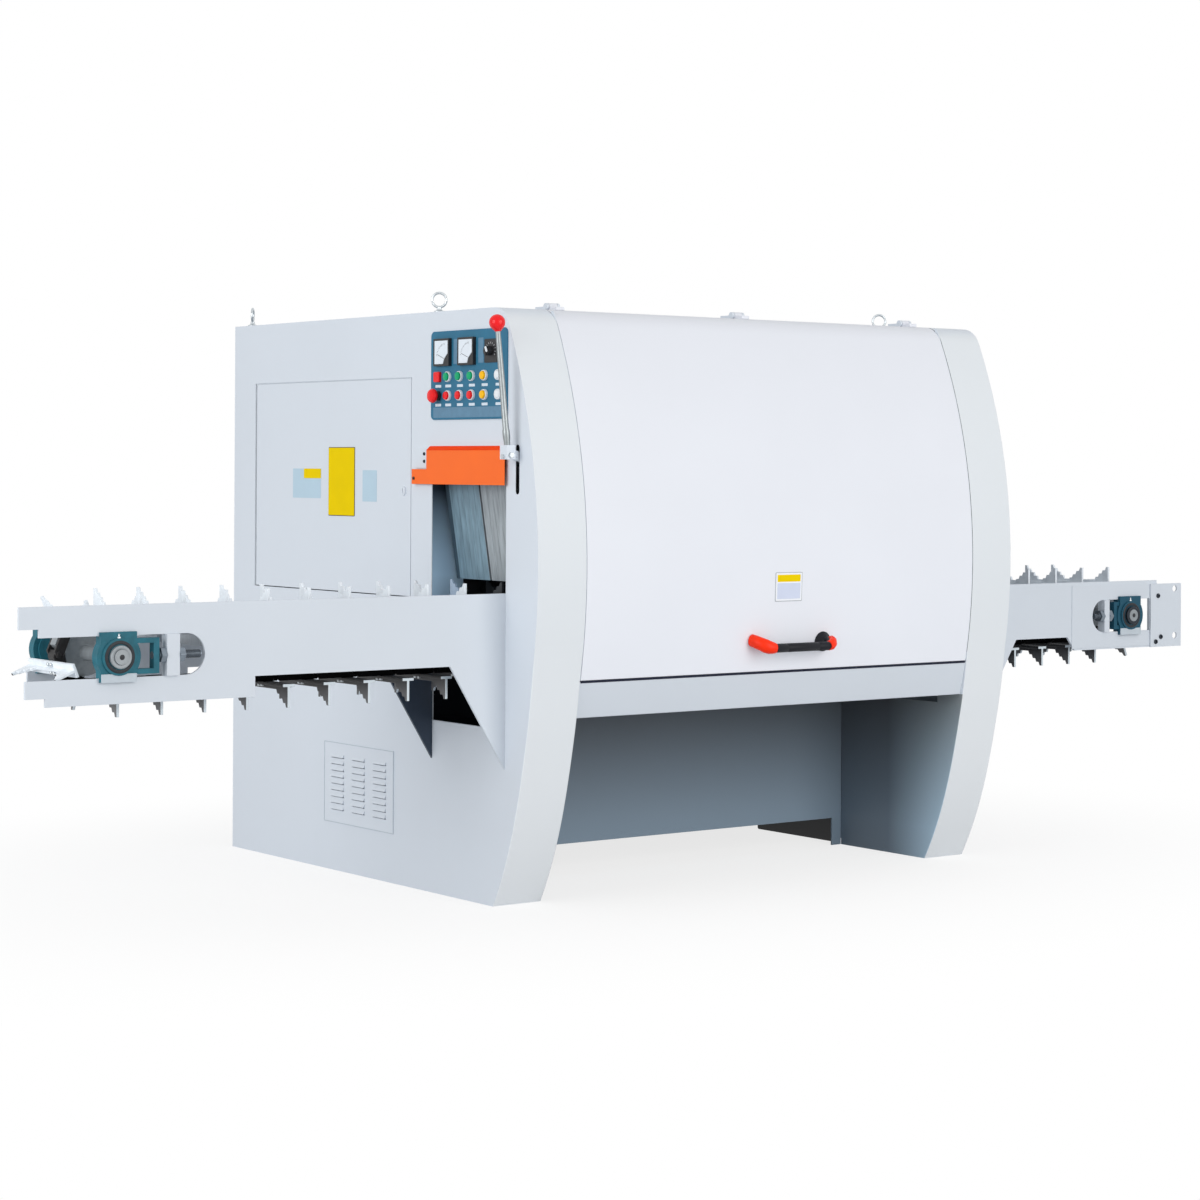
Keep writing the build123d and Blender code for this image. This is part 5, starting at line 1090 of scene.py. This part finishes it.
# %% [markdown]
# ## Hood label, handle and lifting eyes
# The blank label on the hood is four thin layers: a grey edge, a white base, and on it a yellow band
# and a pale field. Each layer stands a little prouder than the one under it, because faces in one
# plane would flicker.

# %% Hood label
LABEL_X, LABEL_Z = 917, 895
SUNK, PROUD = 0.2, -0.6
LABEL_LAYERS = {
    "hood_label_edge": (0, SUNK, rounded(104, 86, 2), 0.9, 0.2, duct_grey, "panel_slate"),
    "hood_label": (0, SUNK, rounded(101, 83, 2), 1.2, 0.3, label_white, "panel_slate"),
    "hood_label_band": (25.5, PROUD, rounded(90, 21, 1.5, 2), 0.8, 0.2, yellow_enamel, "yellow_plastic"),
    "hood_label_field": (-12.5, PROUD, rounded(90, 47, 1.5, 2), 0.8, 0.2, label_field, "panel_slate"),
}
label_out = (0, -1, (LABEL_Z - BOW_Z) / BOW_RADIUS)
for name, (rise, depth, outline, thick, ease, layer_finish, slot) in LABEL_LAYERS.items():
    layer = bmesh.new()
    layer_z = LABEL_Z + rise
    plate(layer, seat(LABEL_X, hood_front(layer_z) + depth, layer_z, label_out), outline, thick, ease)
    piece(name, layer, layer_finish, "hood", slot)
print("hood label at height", LABEL_Z, "in", len(LABEL_LAYERS), "layers")

# %% [markdown]
# The bow handle has a black grip that ends in a round foot on the right. The grip is turned, with two
# fine grooves, and an elbow is swept from the foot round to the grip.

# %% Handle grip
GRIP_Y, GRIP_Z = -250, 717
GRIP_LEFT, GRIP_LENGTH, GRIP_RADIUS, GROOVE_RADIUS = 833, 208, 13.2, 12.5
FOOT_X, FOOT_Z = 1063, 727
FOOT_PROFILE = [(0, 0), (30, 0), (30, 5), (27, 9), (19, 15), (14, 22), (12.5, 28), (0, 28)]
ELBOW_RADIUS = 13
foot_y = hood_front(FOOT_Z)
ELBOW = (
    (FOOT_X, foot_y - 20, FOOT_Z),
    (FOOT_X - 1, foot_y - 30, FOOT_Z - 1),
    (FOOT_X - 6, foot_y - 42, FOOT_Z - 4),
    (FOOT_X - 15, foot_y - 50, GRIP_Z + 2),
    (FOOT_X - 27, GRIP_Y, GRIP_Z),
)
grip_profile = [(0, 0), (11.5, 0), (GRIP_RADIUS, 2)]
for groove in (42, 164):
    grip_profile += [(GRIP_RADIUS, groove), (GROOVE_RADIUS, groove + 1.5)]
    grip_profile += [(GROOVE_RADIUS, groove + 3), (GRIP_RADIUS, groove + 4.5)]
grip_profile += [(GRIP_RADIUS, GRIP_LENGTH - 2), (11.5, GRIP_LENGTH), (0, GRIP_LENGTH)]
grip = bmesh.new()
turned(grip, seat(GRIP_LEFT, GRIP_Y, GRIP_Z, OUT_RIGHT), grip_profile)
turned(grip, seat(FOOT_X, foot_y, FOOT_Z, OUT_FRONT), FOOT_PROFILE)
swept(grip, [(at(*place), ELBOW_RADIUS, ELBOW_RADIUS) for place in ELBOW])
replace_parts(piece("bow_grip", grip, grip_black, "hood", "black_plastic"), "handle_grip")
print("handle stands", round(foot_y - GRIP_Y), "mm off the hood")

# %% [markdown]
# The red ends are moulded: a fat one on the left that swells out of the grip and bends back to the
# hood, and a small tip on the right that covers the elbow. A sweep whose oval grows and shrinks gives
# both. Each station is a place with the half width and half height of the oval there.

# %% Handle ends
RED_END = (
    (837, -250, 717, 13, 13),
    (835, -249, 717, 14.6, 14.8),
    (826, -247.5, 718, 15.5, 17.5),
    (814, -246, 720, 16.5, 19.5),
    (803, -241, 724, 16.5, 20.5),
    (795, -233, 729, 16, 19.5),
    (789, -223, 733, 15.5, 19.5),
    (786, -211, 737, 15, 19),
    (785, -199, 739, 14.5, 18.5),
)
RED_TIP = (
    (1040, -250, 717, 13, 13),
    (1042, -249.3, 717.2, 14.2, 14.2),
    (1054, -247.5, 719.5, 14.6, 15.5),
    (1064, -242, 724, 14, 16),
    (1072, -233, 730, 12.5, 14.5),
    (1077, -222, 735, 10, 11),
    (1079, -212, 738, 6, 6),
)
red = bmesh.new()
for path in (RED_END, RED_TIP):
    swept(red, [(at(x, y, z), wide, tall) for x, y, z, wide, tall in path])
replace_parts(piece("bow_red_ends", red, handle_red, "hood", "handle_red", 50), "handle_ends")
print("red ends from", RED_END[-1][0], "to", RED_TIP[-1][0], "mm")

# %% [markdown]
# Four forged eyes on top take the hooks of a crane. Each is a ring on a turned collar, screwed in
# until it is tight, so the rings look different ways.

# %% Lifting eyes
EYE_INSET, FRONT_EYE, BACK_EYE = 45, 360, 1465
RIGHT_EYE = BODY_LENGTH - EYE_INSET
EYE_PLACES = (
    (EYE_INSET, FRONT_EYE, -37),
    (EYE_INSET, BACK_EYE, 53),
    (RIGHT_EYE, FRONT_EYE, -37),
    (RIGHT_EYE, BACK_EYE, 20),
)
EYE_Z, EYE_RADIUS, EYE_WIRE, BODY_HEIGHT = 1738, 21, 3.8, 1700
EYE_COLLAR = [(0, 0), (16, 0), (16, 4), (14, 6), (9, 8), (7, 12), (6.5, 17), (0, 17)]
eyes = bmesh.new()
for eye_x, eye_y, turn in EYE_PLACES:
    side = Vector((math.cos(math.radians(turn)), math.sin(math.radians(turn)), 0))
    centre = at(eye_x, eye_y, EYE_Z)
    offsets = [side * c + Vector((0, 0, s)) for c, s in circle(32)]
    loop = [(centre + offset * EYE_RADIUS / 1000, EYE_WIRE, EYE_WIRE) for offset in offsets]
    swept(eyes, loop, 12, True)
    turned(eyes, seat(eye_x, eye_y, BODY_HEIGHT, OUT_TOP), EYE_COLLAR)
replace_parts(piece("forged_eyes", eyes, zinc_steel, slot="machined_steel"), "lifting_eyes")
print("lifting eyes", len(EYE_PLACES))

# %% [markdown]
# ## Conveyor fittings
# The end wheels run in take-up housings. Seen from the side, each housing shows a dark seal with a
# thin race, a locking collar and the end of the shaft with its centre mark. The collars and centres
# turn with the shafts, the seals and races stay. The collars on the right are darker.

# %% Seals, collars and shaft ends
AXIS_Z = 757
IDLERS = {"infeed_idler": (-1208, -70, 340), "outfeed_idler": (2562, -72, 342)}
COLLAR_FINISH = {"infeed_idler": collar_steel, "outfeed_idler": dark_bolt}
NEAR_TIP, FAR_TIP = -83, 353
SEAL = [(33, -1), (33, 1.6), (35, 2.2), (40, 2.2), (42, 1), (42, -1)]
RACE = [(36, 1.8), (36.2, 2.7), (37.2, 2.7), (37.4, 1.8)]
COLLAR = [(20.2, 0.3), (29.5, 0.3), (30, 1), (30, 8), (28.5, 9.4), (22, 9.8), (20.2, 9)]
CENTRE = [(0, -2), (6.5, -2), (7, 0.3), (6.5, 0.6), (0, 0.5)]
seals = bmesh.new()
races = bmesh.new()
for body, (axis_x, near_face, far_face) in IDLERS.items():
    collars = bmesh.new()
    centres = bmesh.new()
    for face, tip, out in ((near_face, NEAR_TIP, OUT_FRONT), (far_face, FAR_TIP, OUT_BACK)):
        housing = seat(axis_x, face, AXIS_Z, out)
        turned(seals, housing, SEAL, 40)
        turned(races, housing, RACE, 40)
        turned(collars, housing, COLLAR, 40)
        turned(centres, seat(axis_x, tip, AXIS_Z, out), CENTRE, 20)
    piece(body + "_collars", collars, COLLAR_FINISH[body], body, "machined_steel")
    piece(body + "_centres", centres, seal_black, body, "chain_steel")
piece("bearing_seals", seals, seal_black, slot="chain_steel")
piece("bearing_races", races, dark_bolt, slot="machined_steel")
print("idler bearings", 2 * len(IDLERS))

# %% [markdown]
# Under each bearing a pale lip guides the housing, and a nipple on top takes the grease gun.

# %% Bearing lips and grease nipples
LIP_OUTLINE, LIP_DROP, LIP_IN = rounded(100, 22, 2), 54, 5
NIPPLE = [(0, 0), (5, 0), (5, 4), (3, 6), (3, 9), (4, 10), (3, 12), (0, 12)]
NIPPLE_RISE, NIPPLE_IN = 47, 6
lips = bmesh.new()
nipples = bmesh.new()
for axis_x, near_face, far_face in IDLERS.values():
    for face, inward, out in ((near_face, 1, OUT_FRONT), (far_face, -1, OUT_BACK)):
        lip_pose = seat(axis_x, face + inward * LIP_IN, AXIS_Z - LIP_DROP, out)
        plate(lips, lip_pose, LIP_OUTLINE, 3, 0.6)
        nipple_pose = seat(axis_x, face + inward * NIPPLE_IN, AXIS_Z + NIPPLE_RISE, OUT_TOP)
        turned(nipples, nipple_pose, NIPPLE, 12)
piece("bearing_lips", lips, pale_line_grey, slot="body_paint")
piece("grease_nipples", nipples, zinc_steel, slot="machined_steel")
print("nipples", 2 * len(IDLERS))

# %% [markdown]
# The take-up screws show their thread where no nut covers it. A true helix would be heavy, and at this
# size a row of ridges cannot be told from one, so the thread is a turned profile that goes up and down.

# %% Screw threads
THREAD_RUNS = ((-1091.5, -1088.5), (-1017, -968), (2401, 2420), (2478, 2485))
THREAD_PITCH, CREST, ROOT = 2.5, 10.7, 9.9
SCREW_LINES = (-51, 321)
threads = bmesh.new()
for screw_y in SCREW_LINES:
    for start, end in THREAD_RUNS:
        turns = int((end - start) / THREAD_PITCH)
        ridge = [(CREST if n % 2 else ROOT, THREAD_PITCH / 2 * n) for n in range(2 * turns + 1)]
        turned(threads, seat(start, screw_y, AXIS_Z, OUT_RIGHT), ridge, 16)
piece("take_up_threads", threads, dark_bolt, slot="machined_steel")
print("threads cut", len(SCREW_LINES) * len(THREAD_RUNS))

# %% [markdown]
# The chain has a pin at every joint, and every second link carries a bolted carrier. The pins lie on
# straight runs above and below and on half an octagon round each end wheel, so one function walks
# round the loop and gives every place.

# %% Places of the chain pins
CHAIN_PITCH, WHEEL_STEPS = 63.5, 8
PITCH_RADIUS = CHAIN_PITCH / (2 * math.sin(math.pi / WHEEL_STEPS))
LOOPS = ((-1208, 28, 1), (1355.5, 19, 0))


def half_turn(axis_x, side):
    """Pins round an end wheel, from its top down the right (side 1) or its bottom up the left (-1)."""
    radius = side * PITCH_RADIUS
    return [(axis_x + radius * s, AXIS_Z + radius * c) for c, s in circle(WHEEL_STEPS)[: WHEEL_STEPS // 2]]


def chain_pins(left_x, straight):
    """Every pin of one loop, in drawing x and z."""
    right_x = left_x + straight * CHAIN_PITCH
    pins = [(left_x + n * CHAIN_PITCH, AXIS_Z + PITCH_RADIUS) for n in range(straight)]
    pins += half_turn(right_x, 1)
    pins += [(right_x - n * CHAIN_PITCH, AXIS_Z - PITCH_RADIUS) for n in range(straight)]
    return pins + half_turn(left_x, -1)


print("pins", [len(chain_pins(left_x, straight)) for left_x, straight, first_carrier in LOOPS])

# %% [markdown]
# A pin shows as a round head on each side of the chain. Four hexagon bolts hold the foot of a carrier
# to its link, and they look out of the chain square to that link, also where it turns the corner.

# %% Pin heads and carrier bolts
CONVEYOR_Y, PIN_SIDE, BOLT_SEAT = 135, 26, 22
PIN_HEAD = [(0, -1), (7, -1), (7, 2), (5.5, 3), (0, 3)]
BOLT_HEAD = [(0, -1), (5.5, -1), (5.5, 4), (4.6, 5), (0, 5)]
BOLT_SPOTS = ((-12, -9), (-12, 9), (12, -9), (12, 9))
pin_heads = bmesh.new()
bolts = bmesh.new()
for left_x, straight, first_carrier in LOOPS:
    pins = chain_pins(left_x, straight)
    for x, z in pins:
        turned(pin_heads, seat(x, CONVEYOR_Y - PIN_SIDE, z, OUT_FRONT), PIN_HEAD, 10)
        turned(pin_heads, seat(x, CONVEYOR_Y + PIN_SIDE, z, OUT_BACK), PIN_HEAD, 10)
    chain_links = list(zip(pins, pins[1:] + pins[:1]))
    for (x0, z0), (x1, z1) in chain_links[first_carrier::2]:
        along = Vector((x1 - x0, 0, z1 - z0)).normalized()
        out = Vector((-along.z, 0, along.x))
        for step, side in BOLT_SPOTS:
            x = (x0 + x1) / 2 + along.x * step + out.x * BOLT_SEAT
            z = (z0 + z1) / 2 + along.z * step + out.z * BOLT_SEAT
            turned(bolts, seat(x, CONVEYOR_Y + side, z, out), BOLT_HEAD, 6)
piece("chain_pin_heads", pin_heads, chain_steel, slot="chain_steel")
piece("carrier_bolts", bolts, zinc_steel, slot="machined_steel")
print("bolts to a carrier", len(BOLT_SPOTS))

# %% [markdown]
# Three bolts hold the extension plates at the right end, on both sides of the conveyor.

# %% Plate bolts
PLATE_BOLTS = ((2703, 819), (2717, 679), (2692, 663))
NEAR_PLATE, FAR_PLATE = -63, 333
plate_bolts = bmesh.new()
for bolt_x, bolt_z in PLATE_BOLTS:
    screw_head(plate_bolts, seat(bolt_x, NEAR_PLATE, bolt_z, OUT_FRONT), 8, 5)
    screw_head(plate_bolts, seat(bolt_x, FAR_PLATE, bolt_z, OUT_BACK), 8, 5)
piece("plate_bolts", plate_bolts, dark_bolt, slot="machined_steel")
print("plate bolts", 2 * len(PLATE_BOLTS))

# %% [markdown]
# ## Inside the electrical cabinet and on the back
# With the door open the switchgear shows: three rows of devices on a mounting plate. They get grey
# fronts and rows of terminal screws, and wiring ducts of the same grey run between the rows.

# %% Switchgear fronts and ducts
DOOR_EDGE, GEAR_BACK, MOUNT_PLATE, DEVICE_DEPTH = 437, 305, 3, 105
DEVICE_ROWS, DEVICE_COLUMNS = (980, 1180, 1380), 5
FIRST_DEVICE, DEVICE_STEP, DEVICE_HALF = 110, 150, 45
TERMINALS, TERMINAL_STEP, TERMINAL_RISE = 4, 20, 46
DUCT_ROWS, DUCT_MIDDLE = (1080, 1280), 463
gear_face = GEAR_BACK - DEVICE_DEPTH
fronts = bmesh.new()
terminals = bmesh.new()
for row_z in DEVICE_ROWS:
    for column in range(DEVICE_COLUMNS):
        device_y = DOOR_EDGE + FIRST_DEVICE + column * DEVICE_STEP + DEVICE_HALF
        plate(fronts, seat(gear_face, device_y, row_z, OUT_LEFT), rounded(70, 52, 3), 6, 1)
        for spot in range(TERMINALS):
            terminal_y = device_y + (spot - (TERMINALS - 1) / 2) * TERMINAL_STEP
            for rise in (-TERMINAL_RISE, TERMINAL_RISE):
                screw_head(terminals, seat(gear_face, terminal_y, row_z + rise, OUT_LEFT), 6, 4)
piece("device_fronts", fronts, duct_grey, slot="device_plastic")
piece("device_terminals", terminals, zinc_steel, slot="machined_steel")
ducts = bmesh.new()
for duct_z in DUCT_ROWS:
    duct_pose = seat(GEAR_BACK - MOUNT_PLATE, DOOR_EDGE + DUCT_MIDDLE, duct_z, OUT_LEFT)
    plate(ducts, duct_pose, rounded(800, 50, 2), 60, 2)
piece("wiring_ducts", ducts, duct_grey, slot="device_plastic")
print("devices", len(DEVICE_ROWS) * DEVICE_COLUMNS, "and ducts", len(DUCT_ROWS))

# %% [markdown]
# The back panel is held by a row of screws near its top and one near its bottom.

# %% Screws on the back
SCREWS_IN_ROW, SCREW_INSET, SCREW_ROWS = 8, 60, (200, 1640)
screw_step = (BODY_LENGTH - 2 * SCREW_INSET) / (SCREWS_IN_ROW - 1)
back_screws = bmesh.new()
for n in range(SCREWS_IN_ROW):
    for screw_z in SCREW_ROWS:
        screw_head(back_screws, seat(SCREW_INSET + n * screw_step, BODY_DEPTH, screw_z, OUT_BACK), 7, 4)
piece("back_screws", back_screws, zinc_steel, slot="machined_steel")
print("back screws", SCREWS_IN_ROW * len(SCREW_ROWS))

# %% [markdown]
# ## Stage, light and camera
# The floor is pale and fades into a white ground well away from the machine, so that the soft shadow
# stays under it and no horizon shows. For light that bounces, the floor is darker, which keeps the
# undersides and the recess in shade.

# %% Floor
FLOOR_HALF = 40.0
floor_mesh = bpy.data.meshes.new("floor")
corners = [(x * FLOOR_HALF, y * FLOOR_HALF, 0) for x, y in ((-1, -1), (1, -1), (1, 1), (-1, 1))]
floor_mesh.from_pydata(corners, [], [(0, 1, 2, 3)])
floor = bpy.data.objects.new("floor", floor_mesh)
scene.collection.objects.link(floor)
print("floor", 2 * FLOOR_HALF, "m wide")

# %% [markdown]
# The floor finish mixes three shaders. Near the machine a share of matt floor takes the shadow, and
# further off a plain white glow takes over, along an oval that is wider than deep. Only rays that see
# the floor get this pair, all others meet the darker one.

# %% Floor finish
FLOOR_TONE, BOUNCE_TONE, WHITE = (0.96, 0.96, 0.96, 1), (0.58, 0.6, 0.63, 1), (1, 1, 1, 1)
FLOOR_ROUGH = 0.9
OVAL = (0.55, 0.75, 1)
FADE_REACH, FADE_SHARE = (0.55, 1.7), (0.78, 1)


def seen_rays(nodes, links):
    """One for rays that see the background: straight from the camera, off gloss or through glass."""
    path = nodes.new("ShaderNodeLightPath")
    total = path.outputs["Is Camera Ray"]
    for ray in ("Is Glossy Ray", "Is Transmission Ray"):
        either = nodes.new("ShaderNodeMath")
        either.operation = "MAXIMUM"
        links.new(total, either.inputs[0])
        links.new(path.outputs[ray], either.inputs[1])
        total = either.outputs["Value"]
    return total


def mixed(nodes, links, share, first, second):
    """Two shaders mixed by a share."""
    mix = nodes.new("ShaderNodeMixShader")
    links.new(share, mix.inputs["Fac"])
    links.new(first, mix.inputs[1])
    links.new(second, mix.inputs[2])
    return mix.outputs["Shader"]


floor_finish = bpy.data.materials.new("floor_finish")
floor_finish.use_nodes = True
nodes, links = floor_finish.node_tree.nodes, floor_finish.node_tree.links
matt = nodes["Principled BSDF"]
matt.inputs["Base Color"].default_value = FLOOR_TONE
matt.inputs["Roughness"].default_value = FLOOR_ROUGH
dim = nodes.new("ShaderNodeBsdfDiffuse")
dim.inputs["Color"].default_value = BOUNCE_TONE
glow = nodes.new("ShaderNodeEmission")
glow.inputs["Color"].default_value = WHITE
place = nodes.new("ShaderNodeTexCoord")
squeeze = nodes.new("ShaderNodeMapping")
squeeze.inputs["Scale"].default_value = OVAL
distance = nodes.new("ShaderNodeVectorMath")
distance.operation = "LENGTH"
links.new(place.outputs["Object"], squeeze.inputs["Vector"])
links.new(squeeze.outputs["Vector"], distance.inputs[0])
fade = mapped(nodes, links, distance.outputs["Value"], FADE_REACH, FADE_SHARE, "SMOOTHSTEP")
seen = mixed(nodes, links, fade, matt.outputs["BSDF"], glow.outputs["Emission"])
surface = mixed(nodes, links, seen_rays(nodes, links), dim.outputs["BSDF"], seen)
links.new(surface, nodes["Material Output"].inputs["Surface"])
floor_mesh.materials.append(floor_finish)
print("the floor is white from", round(FADE_REACH[1] / OVAL[0], 1), "m to the side")

# %% [markdown]
# The surroundings light everything softly from all sides, slightly blue like a cloudy sky. Where a ray
# sees them they are plain white, so the ground and the background are one.

# %% Surroundings
SKY, SKY_STRENGTH = (0.96, 0.975, 1.0, 1), 0.55
world = bpy.data.worlds.new("studio")
scene.world = world
world.use_nodes = True
nodes, links = world.node_tree.nodes, world.node_tree.links
soft = nodes["Background"]
soft.inputs["Color"].default_value = SKY
soft.inputs["Strength"].default_value = SKY_STRENGTH
plain = nodes.new("ShaderNodeBackground")
plain.inputs["Color"].default_value = WHITE
plain.inputs["Strength"].default_value = 1.0
share = seen_rays(nodes, links)
around = mixed(nodes, links, share, soft.outputs["Background"], plain.outputs["Background"])
links.new(around, nodes["World Output"].inputs["Surface"])
print("sky strength", SKY_STRENGTH)

# %% [markdown]
# Two large lamps of nearly the same power stand in for studio windows: one in front of the hood and
# one off the left end, where the operator stands. Large lamps give soft shadows and broad highlights.


# %% Lamps
def window_lamp(name, place, target, width, watts, colour):
    """A large square area lamp that looks at a point."""
    lamp = bpy.data.lights.new(name, "AREA")
    lamp.size = width
    lamp.energy = watts
    lamp.color = colour
    holder = bpy.data.objects.new(name, lamp)
    holder.location = place
    holder.rotation_euler = (Vector(target) - Vector(place)).to_track_quat("-Z", "Y").to_euler()
    scene.collection.objects.link(holder)


window_lamp("front_window", (1.0, -7.6, 2.4), (0.5, -0.4, 0.8), 5.0, 270, (1.0, 0.98, 0.95))
window_lamp("left_window", (-7.6, -1.2, 2.4), (-0.6, 0.1, 0.8), 4.5, 262, (1.0, 0.995, 0.985))
print("lamps", len(bpy.data.lights))

# %% [markdown]
# The camera stands level at about three quarters of the machine's height. Its frame is shifted down
# rather than tilted, which keeps the uprights upright.

# %% Camera
PHOTO_LENS, SENSOR = 82.19, 36
CAMERA_PLACE = at(-4420, -6395, 1251)
CAMERA_YAW, CAMERA_ROLL = math.radians(-36.84), math.radians(0.309)
HORIZON_PIXELS, PHOTO_PIXELS = -134, 1200
SIGHT = 200
camera_data = bpy.data.cameras.new("photo_camera")
camera_data.lens = PHOTO_LENS
camera_data.sensor_width = SENSOR
camera_data.shift_y = HORIZON_PIXELS / PHOTO_PIXELS
camera_data.clip_end = SIGHT
camera = bpy.data.objects.new("photo_camera", camera_data)
level = Matrix.Rotation(CAMERA_YAW, 4, "Z") @ Matrix.Rotation(math.pi / 2, 4, "X")
camera.matrix_world = Matrix.Translation(CAMERA_PLACE) @ level @ Matrix.Rotation(CAMERA_ROLL, 4, "Z")
scene.collection.objects.link(camera)
scene.camera = camera
scene.view_settings.view_transform = "Standard"
print("camera at", [round(v, 2) for v in CAMERA_PLACE])
